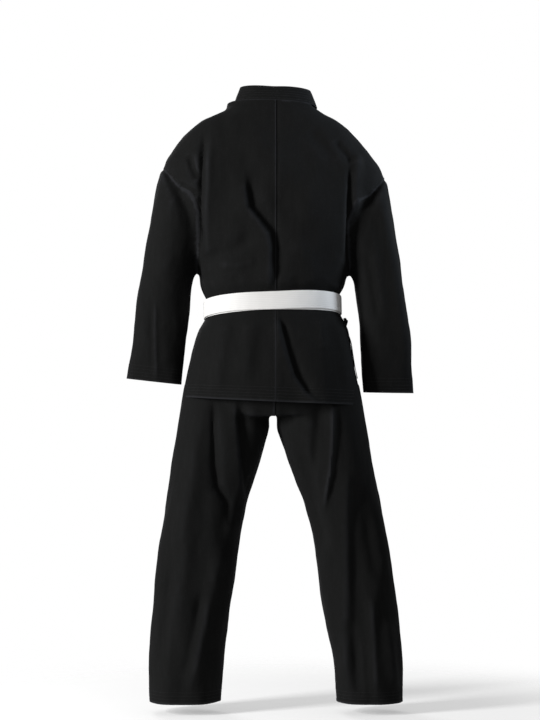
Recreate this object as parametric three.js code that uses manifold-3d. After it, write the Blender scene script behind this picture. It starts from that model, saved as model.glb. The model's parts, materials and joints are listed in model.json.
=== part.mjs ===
// Martial arts uniform: a cross-over jacket, a tied belt and loose trousers, holding the shape of
// a standing wearer. Millimetres, +Z up. The wearer faces -Y, so the wearer's left side is +X.
// Heights are counted from the sole of the foot. At the end the group is lowered, so that the
// origin is in the middle of the wearer's waist, at the height of the belt.
import * as THREE from "three";
import { mergeVertices } from "three/addons/utils/BufferGeometryUtils.js";
import Module from "manifold-3d";

const wasm = await Module();
wasm.setup();

// Cloth. A panel's wall stands for the canvas with its seam allowances and hems.
const CLOTH = 3; // wall of a panel
const FACING = 1.6; // wall of a hem facing, lining or patch inside a panel
const BAND = 5; // thickness of the collar and lapel band
const BAND_WIDTH = 45; // width of the collar and lapel band
const BELT_WIDTH = 45;
const BELT_THICK = 3.5;
const TAPE_WIDTH = 16; // width of the jacket's tie tapes
const TAPE_THICK = 1.6;
const GAP = 0.6; // between pieces that are sewn together or lie on each other
const VENT = 1; // half of the slit between the jacket's front and back skirts, in degrees

// Lengths up the wearer
const TROUSER_HEM = 29; // above the sole
const INSEAM = 724; // trouser hem to crotch
const HEM_OVER_CROTCH = 34; // jacket hem above the crotch
const SKIRT = 210; // jacket hem to the belt's lower edge
const BLOUSE = 68; // belt's upper edge to the underarm
const ARMHOLE = 258; // underarm to the top of the sleeve seam
const SHOULDER = 162; // top of the sleeve seam to the neck
const SLEEVE = 531; // length of the sleeve's outer edge
const UNDERARM_SEAM = 280; // length of the sleeve's inner edge
const BELT_TAIL = 265; // length of each hanging end of the belt
const TIE_TAIL = 125; // length of each hanging end of a side tie

const CROTCH = TROUSER_HEM + INSEAM;
const JACKET_HEM = CROTCH + HEM_OVER_CROTCH;
const BELT_LOW = JACKET_HEM + SKIRT;
const BELT_TOP = BELT_LOW + BELT_WIDTH;
const UNDERARM = BELT_TOP + BLOUSE;
const SLEEVE_TOP = UNDERARM + ARMHOLE;
const NECK = SLEEVE_TOP + SHOULDER;
const WAIST = (BELT_LOW + BELT_TOP) / 2;

// Reaches from the middle line. The wearer stands with the left shoulder a little higher.
const HEM_HALF = 228;
const HIP_HALF = 206;
const WAIST_HALF = 167;
const UNDERARM_HALF = 188;
const SHOULDER_HALF = 279;
const NECK_HALF = 106;
const SHOULDER_TILT = 12; // how far the left shoulder is above the mean, and the right one below
const HEM_TILT = 10;
const TROUSER_EASE = 28; // between the jacket's outer face and the trousers' at the waist and hips
const LAYER = 7.5; // how much deeper the jacket's under layer lies

const DEG = Math.PI / 180;

// A tube lofted through stations. A station's section runs from its left edge to its right edge,
// [x, z], and reaches forwards by front and backwards by back. lean is its slope towards the back.
// Angles run from the left edge (0) by the back (90) and the right edge (180) to the front (270).
class Form {
  constructor(stations, squareness = 2.3) {
    const curve = (pick) =>
      new THREE.CatmullRomCurve3(stations.map((s) => new THREE.Vector3(...pick(s))), false, "centripetal");
    this.last = stations.length - 1;
    this.power = 2 / squareness;
    this.left = curve((s) => [s.left[0], 0, s.left[1]]);
    this.right = curve((s) => [s.right[0], 0, s.right[1]]);
    this.reach = curve((s) => [s.front, s.back, 0]);
    this.lean = curve((s) => [s.lean ?? 0, 0, 0]);
  }

  section(station) {
    const t = Math.min(Math.max(station / this.last, 0), 1);
    const [left, right] = [this.left.getPoint(t), this.right.getPoint(t)];
    const [reach, lean] = [this.reach.getPoint(t), this.lean.getPoint(t).x];
    return { left, right, middle: left.clone().lerp(right, 0.5), front: reach.x, back: reach.y, lean };
  }

  // The point at an angle of a station's section, depth inside the outer face.
  point(station, angle, depth = 0) {
    const s = this.section(station);
    const [c, n] = [Math.cos(angle * DEG), Math.sin(angle * DEG)];
    const across = Math.sign(c) * Math.abs(c) ** this.power;
    const along = Math.sign(n) * Math.abs(n) ** this.power;
    const half = s.left.clone().sub(s.middle);
    half.setLength(half.length() - depth);
    const y = along * ((n > 0 ? s.back : s.front) - depth);
    const p = s.middle.clone().addScaledVector(half, across);
    return new THREE.Vector3(p.x, y, p.z + s.lean * y);
  }

  // The angle on the front of a section where its face is at x.
  frontAngle(station, x) {
    const s = this.section(station);
    const share = THREE.MathUtils.clamp((x - s.middle.x) / (s.left.x - s.middle.x), -0.999, 0.999);
    return 360 - Math.acos(Math.sign(share) * Math.abs(share) ** (1 / this.power)) / DEG;
  }

  // The station whose left edge is at a height.
  atHeight(z) {
    let [low, high] = [0, this.last];
    const rises = this.section(high).middle.z > this.section(low).middle.z;
    for (let i = 0; i < 40; i++) {
      const mid = (low + high) / 2;
      if (this.section(mid).middle.z < z === rises) low = mid;
      else high = mid;
    }
    return (low + high) / 2;
  }
}

// Solids

function solidOf(positions, triangles) {
  const geometry = new THREE.BufferGeometry();
  geometry.setAttribute("position", new THREE.Float32BufferAttribute(positions, 3));
  geometry.setIndex(triangles);
  const merged = mergeVertices(geometry, 1e-4);
  const index = Uint32Array.from(merged.index.array);
  const make = () =>
    new wasm.Manifold(
      new wasm.Mesh({ numProp: 3, vertProperties: merged.attributes.position.array, triVerts: index }),
    );
  const solid = make();
  if (solid.volume() > 0) return solid;
  index.reverse();
  return make();
}

function solidOfGeometry(source) {
  const plain = new THREE.BufferGeometry();
  plain.setAttribute("position", source.getAttribute("position").clone());
  if (source.index) plain.setIndex(source.index.clone());
  const merged = mergeVertices(plain, 1e-4);
  return solidOf(Array.from(merged.attributes.position.array), Array.from(merged.index.array));
}

function geometryOf(solid) {
  const mesh = solid.getMesh();
  const geometry = new THREE.BufferGeometry();
  const points = [];
  for (let i = 0; i < mesh.numVert; i++)
    points.push(...mesh.vertProperties.slice(i * mesh.numProp, i * mesh.numProp + 3));
  geometry.setAttribute("position", new THREE.Float32BufferAttribute(points, 3));
  geometry.setIndex(Array.from(mesh.triVerts));
  geometry.computeVertexNormals();
  return geometry;
}

// A piece of cloth on a form, from station low to station high and from angle from(station) to
// to(station). With no angles it goes all round. depth(station, angle) is where its outer face is.
// A backing piece lies behind the cells of its panel's own grid that part gives as row and column spans.
function cloth(form, panel) {
  const { low, high, from, to, depth = () => 0, thick = CLOTH, part = {} } = panel;
  const [firstRow, lastRow] = part.rows ?? [0, panel.rows];
  const [firstColumn, lastColumn] = part.columns ?? [0, panel.columns];
  const round = !from && !part.columns;
  const [rows, columns] = [lastRow - firstRow, lastColumn - firstColumn];
  const wide = round ? columns : columns + 1;
  const [positions, triangles] = [[], []];
  for (const layer of [0, thick])
    for (let i = 0; i <= rows; i++) {
      const station = low + ((high - low) * (firstRow + i)) / panel.rows;
      const [start, end] = from ? [from(station), to(station)] : [0, 360];
      for (let j = 0; j < wide; j++) {
        const angle = start + ((end - start) * (firstColumn + j)) / panel.columns;
        positions.push(...form.point(station, angle, depth(station, angle) + layer));
      }
    }
  const at = (layer, i, j) => (layer * (rows + 1) + i) * wide + (j % wide);
  const quad = (a, b, c, d) => triangles.push(a, b, c, a, c, d);
  for (let i = 0; i < rows; i++)
    for (let j = 0; j < columns; j++) {
      quad(at(0, i, j), at(0, i, j + 1), at(0, i + 1, j + 1), at(0, i + 1, j));
      quad(at(1, i, j), at(1, i + 1, j), at(1, i + 1, j + 1), at(1, i, j + 1));
    }
  for (let j = 0; j < columns; j++) {
    quad(at(0, 0, j), at(1, 0, j), at(1, 0, j + 1), at(0, 0, j + 1));
    quad(at(0, rows, j), at(0, rows, j + 1), at(1, rows, j + 1), at(1, rows, j));
  }
  if (!round)
    for (let i = 0; i < rows; i++) {
      quad(at(0, i, 0), at(0, i + 1, 0), at(1, i + 1, 0), at(1, i, 0));
      quad(at(0, i, columns), at(1, i, columns), at(1, i + 1, columns), at(0, i + 1, columns));
    }
  return solidOf(positions, triangles);
}

// A backing piece, sewn to the inside of a panel over part of its grid
const backing = (form, panel, part) =>
  cloth(form, {
    ...panel,
    part,
    depth: (station, angle) => (panel.depth ? panel.depth(station, angle) : 0) + CLOTH + GAP,
    thick: FACING,
  });

// The whole inside of a form between two stations, as a solid to cut with.
function filled(form, { low, high, rows, columns, depth }) {
  const [positions, triangles] = [[], []];
  for (let i = 0; i <= rows; i++)
    for (let j = 0; j < columns; j++)
      positions.push(...form.point(low + ((high - low) * i) / rows, (360 * j) / columns, depth));
  const at = (i, j) => i * columns + (j % columns);
  for (let i = 0; i < rows; i++)
    for (let j = 0; j < columns; j++)
      triangles.push(at(i, j), at(i, j + 1), at(i + 1, j + 1), at(i, j), at(i + 1, j + 1), at(i + 1, j));
  for (const [i, station] of [[0, low], [rows, high]]) {
    const s = form.section(station);
    positions.push(s.middle.x, 0, s.middle.z);
    const hub = positions.length / 3 - 1;
    for (let j = 0; j < columns; j++)
      triangles.push(hub, ...(i === 0 ? [at(i, j + 1), at(i, j)] : [at(i, j), at(i, j + 1)]));
  }
  return solidOf(positions, triangles);
}

// A hanging flat strip: an outline of [across, up] points, thick through, turned to hang where asked.
function strip(outline, thick) {
  const shape = new THREE.Shape(outline.map(([x, y]) => new THREE.Vector2(x, y)));
  const geometry = new THREE.ExtrudeGeometry(shape, { depth: thick, bevelEnabled: false });
  geometry.translate(0, 0, -thick / 2);
  geometry.rotateX(90 * DEG);
  return geometry;
}

// A tied knot: a block with its edges rounded off, wide by deep by tall.
function knot(wide, deep, tall, bevel) {
  const [w, h] = [wide / 2 - bevel, tall / 2 - bevel];
  const shape = new THREE.Shape();
  shape.moveTo(-w, -h * 0.4);
  shape.quadraticCurveTo(-w, -h, -w * 0.5, -h);
  shape.lineTo(w * 0.5, -h);
  shape.quadraticCurveTo(w, -h, w, -h * 0.4);
  shape.lineTo(w, h * 0.4);
  shape.quadraticCurveTo(w, h, w * 0.5, h);
  shape.lineTo(-w * 0.5, h);
  shape.quadraticCurveTo(-w, h, -w, h * 0.4);
  shape.closePath();
  const depth = deep - 2 * bevel;
  const options = { depth, bevelThickness: bevel, bevelSize: bevel, bevelSegments: 2, curveSegments: 4 };
  const geometry = new THREE.ExtrudeGeometry(shape, options);
  geometry.translate(0, 0, -depth / 2);
  geometry.rotateX(90 * DEG);
  return geometry;
}

// Forms

const sided = (z, tilt, leftHalf, rightHalf) => ({
  left: [leftHalf, z + tilt],
  right: [-rightHalf, z - tilt],
});

// Stations of the jacket's body, by name, from the hem up
const AT = { hem: 0, hip: 1, skirtTop: 2, beltLow: 3, beltTop: 4, underarm: 6, seam: 8, neck: 12 };
const UNDER_BELT = 15; // how far below the belt the skirt has opened out again
const HEM_LINE = sided(JACKET_HEM, HEM_TILT, HEM_HALF + 6, HEM_HALF - 6);
const HIP_LINE = sided(JACKET_HEM + SKIRT / 2, 5, HIP_HALF + 6, HIP_HALF - 6);
const SKIRT_TOP_LINE = sided(BELT_LOW - UNDER_BELT, -3, WAIST_HALF + 15, WAIST_HALF + 11);
const CHEST_LINE = sided(UNDERARM + ARMHOLE / 2, 8, SHOULDER_HALF - 43, SHOULDER_HALF - 47);
const SHOULDER_LINES = [
  sided(SLEEVE_TOP + SHOULDER * 0.28, 3, SHOULDER_HALF - 22, SHOULDER_HALF - 36),
  sided(SLEEVE_TOP + SHOULDER * 0.62, 0, SHOULDER_HALF - 57, SHOULDER_HALF - 82),
  sided(SLEEVE_TOP + SHOULDER * 0.85, 2, NECK_HALF + 59, NECK_HALF + 44),
];
const NECK_LINE = sided(NECK, 4, NECK_HALF - 3, NECK_HALF + 3);
const body = new Form([
  { ...HEM_LINE, front: 138, back: 142 },
  { ...HIP_LINE, front: 133, back: 138, lean: 0.04 },
  { ...SKIRT_TOP_LINE, front: 127, back: 121, lean: 0.14 },
  { ...sided(BELT_LOW, -6, WAIST_HALF + 3, WAIST_HALF - 4), front: 122, back: 114, lean: 0.16 },
  { ...sided(BELT_TOP, -6, WAIST_HALF + 1, WAIST_HALF - 6), front: 121, back: 113, lean: 0.16 },
  { ...sided(BELT_TOP + 28, 0, WAIST_HALF + 19, WAIST_HALF + 9), front: 131, back: 125, lean: 0.1 },
  { ...sided(UNDERARM, 3, UNDERARM_HALF + 2, UNDERARM_HALF - 2), front: 134, back: 128 },
  { ...CHEST_LINE, front: 126, back: 128 },
  { ...sided(SLEEVE_TOP, SHOULDER_TILT, SHOULDER_HALF, SHOULDER_HALF), front: 98, back: 112 },
  { ...SHOULDER_LINES[0], front: 82, back: 100 },
  { ...SHOULDER_LINES[1], front: 66, back: 84 },
  { ...SHOULDER_LINES[2], front: 60, back: 72, lean: 0.08 },
  { ...NECK_LINE, front: 56, back: 62, lean: 0.19 },
]);

// The collar stands on the neck edge and leans in towards the wearer's neck.
const COLLAR_LEAN_IN = 19;
const collar = new Form([
  { ...sided(NECK + GAP, 4, NECK_HALF - 3, NECK_HALF + 3), front: 56, back: 62, lean: 0.19 },
  {
    ...sided(NECK + BAND_WIDTH, 4, NECK_HALF - COLLAR_LEAN_IN - 3, NECK_HALF - COLLAR_LEAN_IN + 5),
    front: 48,
    back: 50,
    lean: 0.08,
  },
]);

// A sleeve hangs from the top of the armhole and the underarm. side is 1 for the left, -1 for the
// right, and spread is how far the cuff's outer edge stands out from the shoulder.
const SLEEVE_SPREAD = { 1: 95, "-1": 76 };
const LOWER_CUFF = { 1: 7, "-1": 20 }; // how far each cuff hangs below the sleeve's lengths
const CUFF_INSET = 40; // how far the cuff's inner edge stands out from the underarm
const SLEEVE_ENTRY = 42; // how far inside the body the sleeve's form begins, to cut with
function sleeveForm(side) {
  const edge = side > 0 ? "left" : "right";
  const [top, pit] = [body.section(AT.seam)[edge], body.section(AT.underarm)[edge]];
  const station = (outer, inner, front, back) => {
    const out = [top.x + side * SLEEVE_SPREAD[side] * outer ** 0.75, top.z - (SLEEVE + LOWER_CUFF[side]) * outer];
    const inn = [
      pit.x + side * CUFF_INSET * inner ** 0.45,
      pit.z - (UNDERARM_SEAM + LOWER_CUFF[side]) * inner,
    ];
    const edges = side > 0 ? { left: out, right: inn } : { left: inn, right: out };
    return { ...edges, front, back };
  };
  const armhole = station(0, 0, 72, 74);
  const entry = structuredClone(armhole);
  entry.left[0] -= side * SLEEVE_ENTRY;
  entry.right[0] -= side * SLEEVE_ENTRY;
  entry[edge][1] -= SLEEVE_ENTRY * 0.7; // its top stays under the shoulder
  entry[side > 0 ? "right" : "left"][1] += SLEEVE_ENTRY * 0.4;
  Object.assign(entry, { front: 54, back: 54 });
  return new Form(
    [entry, armhole, station(0.2, 0.05, 74, 74), station(0.4, 0.15, 72, 72), station(0.58, 0.33, 68, 66),
      station(0.78, 0.62, 72, 52), station(1, 1, 84, 30)],
    2.1,
  );
}
const sleeves = { 1: sleeveForm(1), "-1": sleeveForm(-1) };
const SLEEVE_AT = { entry: 0, cuff: 6 };

// A leg hangs from the hip. Its top slopes down towards the crotch, so that the legs can close.
const LEG_CLOSES = 6; // degrees that a leg swings in from rest
const LEG_SPREAD = { 1: 0.9, "-1": 1.1 }; // how wide each leg stands, around the mean
const LEG_PARTING = { 1: 12, "-1": 5 }; // from the middle line to the top of each inseam
const HIP_GAP = 4.5; // between the seat and the top of a leg, at the hip
const SEAT_OUT = 12; // how far the trousers stand out past the jacket's hem, at the crotch's height
function legForm(side) {
  const hip = [side * (HEM_HALF + side * 6 + 5), CROTCH - HIP_GAP];
  const width = Math.abs(hip[0]) - LEG_PARTING[side];
  const crotch = [side * LEG_PARTING[side], hip[1] - width * Math.sin(LEG_CLOSES * DEG) - GAP * 3];
  const station = (share, out, inn, front, back) => {
    const level = (from) => from + (TROUSER_HEM - from) * share;
    const outer = [hip[0] + side * out * LEG_SPREAD[side], level(hip[1])];
    const inner = [crotch[0] + side * inn * LEG_SPREAD[side], level(crotch[1])];
    const edges = side > 0 ? { left: outer, right: inner } : { left: inner, right: outer };
    return { ...edges, front, back };
  };
  return new Form([
    station(0, 0, 0, 96, 102),
    station(0.15, 20, 31, 93, 97),
    station(0.3, 39, 68, 89, 90),
    station(0.5, 62, 93, 82, 85),
    station(0.72, 81, 114, 76, 84),
    station(0.88, 89, 133, 70, 84),
    station(1, 86, 139, 64, 84),
  ]);
}
const legs = { 1: legForm(1), "-1": legForm(-1) };
const LEG_AT = { hip: 0, hem: 6 };

// The trousers' seat hangs inside the jacket's skirt, a constant ease inside it.
const easeOf = (station) => {
  const s = body.section(station);
  const ease = TROUSER_EASE;
  return {
    left: [s.left.x - ease, s.left.z],
    right: [s.right.x + ease, s.right.z],
    front: s.front - ease + 3,
    back: s.back - ease + 3,
    lean: s.lean,
  };
};
const seatHem = easeOf(AT.hem);
const seat = new Form([
  easeOf(AT.beltTop),
  easeOf(AT.beltLow),
  easeOf(AT.hip),
  seatHem,
  {
    left: [seatHem.left[0] + SEAT_OUT, CROTCH],
    right: [seatHem.right[0] - SEAT_OUT, CROTCH],
    front: 102,
    back: 108,
  },
]);
const SEAT_AT = { top: 0, bandEnd: 0.9, bottom: 4 };

// Where the front edges run. The seam that joins a lapel to its front panel crosses the middle line
// above the belt, and below the belt it runs on towards the side.
const SEAM_AT_NECK = 88;
const SEAM_AT_BELT = 95;
const SEAM_AT_HEM = 122;
function seamX(station) {
  const z = body.section(station).middle.z;
  if (z < BELT_LOW) return -THREE.MathUtils.mapLinear(z, JACKET_HEM, BELT_LOW, SEAM_AT_HEM, SEAM_AT_BELT);
  return THREE.MathUtils.mapLinear(z, BELT_LOW, NECK, -SEAM_AT_BELT, SEAM_AT_NECK);
}
// The angle of the outer front's edge, out past its seam by so many millimetres across.
const outerEdge = (station, out) => body.frontAngle(station, seamX(station) - out);
// The same for the under front, which is cut as the outer front's mirror image.
const underEdge = (station, out) => body.frontAngle(station, -seamX(station) + out);
// The under front slips from the jacket's face to the layer below between these angles.
const UNDER_FROM = 183;
const UNDER_TO = 203;
const underDepth = (station, angle) => LAYER * THREE.MathUtils.smoothstep(angle, UNDER_FROM, UNDER_TO);

// Colours
const black = new THREE.MeshStandardMaterial({ color: 0x141415, roughness: 0.92, metalness: 0 });
const lining = new THREE.MeshStandardMaterial({ color: 0x1b1b1c, roughness: 0.95, metalness: 0 });
const white = new THREE.MeshStandardMaterial({ color: 0xe9e8e4, roughness: 0.85, metalness: 0 });
const elastic = new THREE.MeshStandardMaterial({ color: 0x202022, roughness: 0.8, metalness: 0 });

const uniform = new THREE.Group();
function add(name, shape, material) {
  const geometry = shape.getMesh ? geometryOf(shape) : geometryOf(solidOfGeometry(shape));
  const mesh = new THREE.Mesh(geometry, material);
  mesh.name = name;
  uniform.add(mesh);
  return mesh;
}

// Jacket above the belt: each half is one cloth from the middle of the back, over the shoulder and
// round to its front edge, with the armhole cut out of it. The inner layer that carries the load lies
// over the back and the front of each shoulder.
const BODICE = { low: AT.beltLow - 0.05, high: AT.neck, rows: 20, columns: 20 };
const SHOULDER_CELLS = { rows: [12, 19], columns: [0, 15] };
const SEAM_TURN = 0.2; // half of the gap at a seam, in degrees
const ARMHOLE_CUT = { low: SLEEVE_AT.entry, high: 2.6, rows: 6, columns: 24, depth: CLOTH };
const halves = {
  left: { ...BODICE, from: () => 90 - SEAM_TURN, to: (s) => outerEdge(s, 0) - 360 },
  right: { ...BODICE, from: () => 90 + SEAM_TURN, to: (s) => underEdge(s, 0), depth: underDepth },
};
for (const [name, half] of Object.entries(halves)) {
  const side = name === "left" ? 1 : -1;
  add(`${name}_bodice`, cloth(body, half).subtract(filled(sleeves[side], ARMHOLE_CUT)), black);
  add(`${name}_shoulder_lining`, backing(body, half, SHOULDER_CELLS), lining);
}

// Diamond patch inside the side seam under each armhole
const GUSSET_CLEAR = 3; // it hangs a little free of the side seam
function gusset(middle) {
  const [low, high] = [AT.underarm - 0.95, AT.underarm - 0.1];
  const spread = (s) => 1.5 + 26 * (1 - Math.abs((s - (low + high) / 2) / ((high - low) / 2)));
  return cloth(body, {
    low,
    high,
    rows: 4,
    columns: 4,
    from: (s) => middle - spread(s),
    to: (s) => middle + spread(s),
    depth: (s, angle) => CLOTH + GUSSET_CLEAR + (middle > 90 ? underDepth(s, angle) : 0),
    thick: FACING,
  });
}
add("left_underarm_gusset", gusset(0), lining);
add("right_underarm_gusset", gusset(180), lining);

// The band: a collar behind the neck, and a lapel down each front edge, above and below the belt
const lapelWidth = { above: BAND_WIDTH + 3, below: BAND_WIDTH };
const COLLAR_FRONT = 62; // how far the collar comes forward of the shoulders, in degrees
const COLLAR_TAPER = 34; // how much less far its upper edge comes, so that it runs into the lapels
const collarEnd = (s) => COLLAR_FRONT - (COLLAR_TAPER * s) / collar.last;
add(
  "collar_band",
  cloth(collar, {
    low: 0,
    high: collar.last,
    rows: 2,
    columns: 24,
    from: (s) => -collarEnd(s),
    to: (s) => 180 + collarEnd(s),
    thick: BAND,
  }),
  black,
);
const LAPEL = { ...BODICE, columns: 2, thick: BAND };
add(
  "left_lapel",
  cloth(body, {
    ...LAPEL,
    from: (s) => outerEdge(s, lapelWidth.above),
    to: (s) => outerEdge(s, GAP),
  }),
  black,
);
add(
  "right_lapel",
  cloth(body, {
    ...LAPEL,
    from: (s) => underEdge(s, GAP),
    to: (s) => underEdge(s, lapelWidth.above),
    depth: () => LAYER,
  }),
  black,
);

// Jacket below the belt: a back skirt in two halves, and two crossing fronts, each with its lapel
const SKIRTS = { low: AT.hem, high: AT.beltLow - 0.15, rows: 8 };
const skirts = {
  back_skirt_left: { ...SKIRTS, columns: 8, from: () => VENT, to: () => 90 - SEAM_TURN },
  back_skirt_right: { ...SKIRTS, columns: 8, from: () => 90 + SEAM_TURN, to: () => 180 - VENT },
  front_skirt_outer: { ...SKIRTS, columns: 12, from: (s) => outerEdge(s, 0), to: () => 360 - VENT },
  front_skirt_under: {
    ...SKIRTS,
    columns: 14,
    from: () => 180 + VENT,
    to: (s) => underEdge(s, 0),
    depth: underDepth,
  },
};
for (const [name, piece] of Object.entries(skirts)) {
  add(name, cloth(body, piece), black);
  add(`${name}_hem`, backing(body, piece, { rows: [0, 1] }), lining);
}
add(
  "left_lapel_skirt",
  cloth(body, {
    ...SKIRTS,
    columns: 2,
    thick: BAND,
    from: (s) => outerEdge(s, lapelWidth.below),
    to: (s) => outerEdge(s, GAP),
  }),
  black,
);
add(
  "right_lapel_skirt",
  cloth(body, {
    ...SKIRTS,
    columns: 2,
    thick: BAND,
    from: (s) => underEdge(s, GAP),
    to: (s) => underEdge(s, lapelWidth.below),
    depth: () => LAYER,
  }),
  black,
);

// Sleeves, each cut off where it meets the body, with a hem facing inside its cuff
const SEAM_CLEAR = 2.2; // between a sleeve's top edge and the body
const trunk = filled(body, { low: AT.beltTop, high: AT.neck, rows: 24, columns: 60, depth: -SEAM_CLEAR });
for (const [side, name] of [[1, "left"], [-1, "right"]]) {
  const tube = { low: SLEEVE_AT.entry, high: SLEEVE_AT.cuff, rows: 11, columns: 20 };
  add(`${name}_sleeve`, cloth(sleeves[side], tube).subtract(trunk), black);
  add(`${name}_cuff_hem`, backing(sleeves[side], tube, { rows: [10, 11] }), lining);
}

// Belt: wound twice round the waist and tied in front with a flat knot, with two hanging ends
const BELT = { low: AT.beltLow, high: AT.beltTop, rows: 1, columns: 40, thick: BELT_THICK };
const BELT_CLEAR = 1.8; // between the jacket and the belt
const innerWrap = BELT_CLEAR + BELT_THICK;
const outerWrap = innerWrap + GAP + BELT_THICK;
add("belt_inner_wrap", cloth(body, { ...BELT, depth: () => -innerWrap }), white);
add(
  "belt_outer_wrap",
  cloth(body, {
    ...BELT,
    part: { columns: [1, 39] },
    from: () => -90,
    to: () => 270,
    depth: () => -outerWrap,
  }),
  white,
);
const KNOT = { wide: 62, deep: 24, tall: 48 };
const beltFront = body.point((AT.beltLow + AT.beltTop) / 2, 270, -outerWrap);
const knotY = beltFront.y - GAP - KNOT.deep / 2 - 1;
const beltKnot = add("belt_knot", knot(KNOT.wide, KNOT.deep, KNOT.tall, 6), white);
beltKnot.position.set(0, knotY, beltFront.z);
const TAIL_SPLAY = { top: 3, bottom: 26 }; // from the middle line to a tail's inner edge
const TAIL_FORWARD = 2; // degrees
const TAIL_CLEAR = 2.5; // a tail turns about the knot's middle, just clear of it
for (const [side, name] of [[1, "left"], [-1, "right"]]) {
  const { top, bottom } = TAIL_SPLAY;
  const corners = [[top, 0], [top + BELT_WIDTH, 0], [bottom + BELT_WIDTH, -BELT_TAIL], [bottom, -BELT_TAIL]];
  const outline = corners.map(([x, z]) => [side * x, z]);
  const tail = add(`belt_tail_${name}`, strip(outline, BELT_THICK), white);
  tail.position.set(0, knotY, beltFront.z - KNOT.tall / 2 - TAIL_CLEAR);
  tail.rotation.x = -TAIL_FORWARD * DEG;
}

// Side ties: the outer one is knotted outside the right hip, the inner one inside the left hip. Each
// tail hangs down the skirt, starting under the knot.
const TIE_KNOT = { wide: 24, deep: 10, tall: 19 };
const TAIL_ROWS = 5;
function sideTie(name, side, station, depth, tailDepth, behind) {
  const middle = side > 0 ? 0 : 180;
  const at = body.point(station, middle, depth);
  at.y = behind;
  const lump = add(`${name}_knot`, knot(TIE_KNOT.wide, TIE_KNOT.deep, TIE_KNOT.tall, 3.5), black);
  lump.rotation.z = 90 * DEG;
  lump.position.copy(at);
  const top = body.atHeight(at.z - TIE_KNOT.tall / 2 - TIE_CLEAR - 1);
  const bottom = body.atHeight(at.z - TIE_KNOT.tall / 2 - TIE_TAIL);
  // The angle of the section at a distance in front of (-) or behind (+) the side seam
  const sideAngle = (s, y) => {
    if (y === 0) return middle;
    const reach = y > 0 ? body.section(s).back : body.section(s).front;
    const turn = Math.asin((Math.abs(y) / reach) ** (1 / body.power)) / DEG;
    return middle + Math.sign(y) * side * turn;
  };
  for (const [end, way] of [["front", -1], ["back", 1]]) {
    const inner = (s) => behind + way * (1 + ((top - s) / (top - bottom)) * 9);
    const outer = (s) => inner(s) + way * TAPE_WIDTH;
    const depth = () => tailDepth - TAPE_THICK / 2;
    const tape = { rows: TAIL_ROWS, columns: 1, thick: TAPE_THICK, depth };
    const edges = { from: (s) => sideAngle(s, inner(s)), to: (s) => sideAngle(s, outer(s)) };
    add(`${name}_tail_${end}`, cloth(body, { ...tape, ...edges, low: bottom, high: top }), black);
  }
}
const TIE_CLEAR = 3; // between a tie and the face of the skirt
const INNER_CLEAR = 10; // the same inside, where the skirt's side moves past the tie when it swings
const outerTie = -TIE_KNOT.deep / 2 - TIE_CLEAR;
const innerTie = CLOTH + INNER_CLEAR + TIE_KNOT.deep / 2;
const INNER_BEHIND = 14; // how far behind the side seam the inner tie is
sideTie("outer_tie", -1, AT.skirtTop, outerTie, outerTie, 0);
const innerTails = innerTie + TIE_KNOT.deep / 2 + TAPE_THICK * 2;
sideTie("inner_tie", 1, AT.beltLow + 0.3, innerTie, innerTails, INNER_BEHIND);

// Trousers: the seat in two halves, the elastic waist, the gusset and the two legs
const SEAT = { low: SEAT_AT.bandEnd, high: SEAT_AT.bottom, rows: 6, columns: 16 };
add("seat_left", cloth(seat, { ...SEAT, from: () => -90 + SEAM_TURN, to: () => 90 - SEAM_TURN }), black);
add("seat_right", cloth(seat, { ...SEAT, from: () => 90 + SEAM_TURN, to: () => 270 - SEAM_TURN }), black);
const WAIST_ROWS = { low: SEAT_AT.top, high: SEAT_AT.bandEnd - 0.02, rows: 1, columns: 32 };
add("waistband", cloth(seat, { ...WAIST_ROWS, thick: FACING }), black);
const elasticDepth = FACING + GAP;
const facingDepth = elasticDepth + FACING + GAP;
add("waist_elastic", cloth(seat, { ...WAIST_ROWS, thick: FACING, depth: () => elasticDepth }), elastic);
add("waistband_facing", cloth(seat, { ...WAIST_ROWS, thick: FACING, depth: () => facingDepth }), lining);

// Diamond gusset across the bottom of the seat
const seatBottom = seat.section(SEAT_AT.bottom);
const GUSSET_HALF = 58;
const gussetEnds = [seatBottom.front, seatBottom.back].map((reach) => reach - CLOTH - 2 * GAP);
const diamond = [[0, -gussetEnds[0]], [GUSSET_HALF, 0], [0, gussetEnds[1]], [-GUSSET_HALF, 0]];
const gussetShape = new THREE.Shape(diamond.map(([x, y]) => new THREE.Vector2(x, y)));
const gussetCloth = new THREE.ExtrudeGeometry(gussetShape, { depth: CLOTH, bevelEnabled: false });
const crotchGusset = add("crotch_gusset", gussetCloth, black);
crotchGusset.position.set(seatBottom.middle.x, 0, CROTCH);

const LEG = { low: LEG_AT.hip, high: LEG_AT.hem, rows: 13, columns: 22 };
const KNEE_CELLS = { rows: [4, 8], columns: [14, 19] };
for (const [side, name] of [[1, "left"], [-1, "right"]]) {
  add(`${name}_leg`, cloth(legs[side], LEG), black);
  add(`${name}_leg_hem`, backing(legs[side], LEG, { rows: [12, 13] }), lining);
  add(`${name}_knee_patch`, backing(legs[side], LEG, KNEE_CELLS), lining);
}

uniform.position.z = -WAIST;

export default uniform;
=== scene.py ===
"""The looks of a martial arts uniform: black cotton canvas jacket and trousers, and a white belt.

Every piece is shaped from sections of the frame's own nodes, so it sits where they are. Metres, +Z
up. The wearer faces -Y and the wearer's left side is +X.
"""

import json
import math

import bmesh
import bpy
import numpy as np
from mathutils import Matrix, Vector, noise
from mathutils.bvhtree import BVHTree

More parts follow.
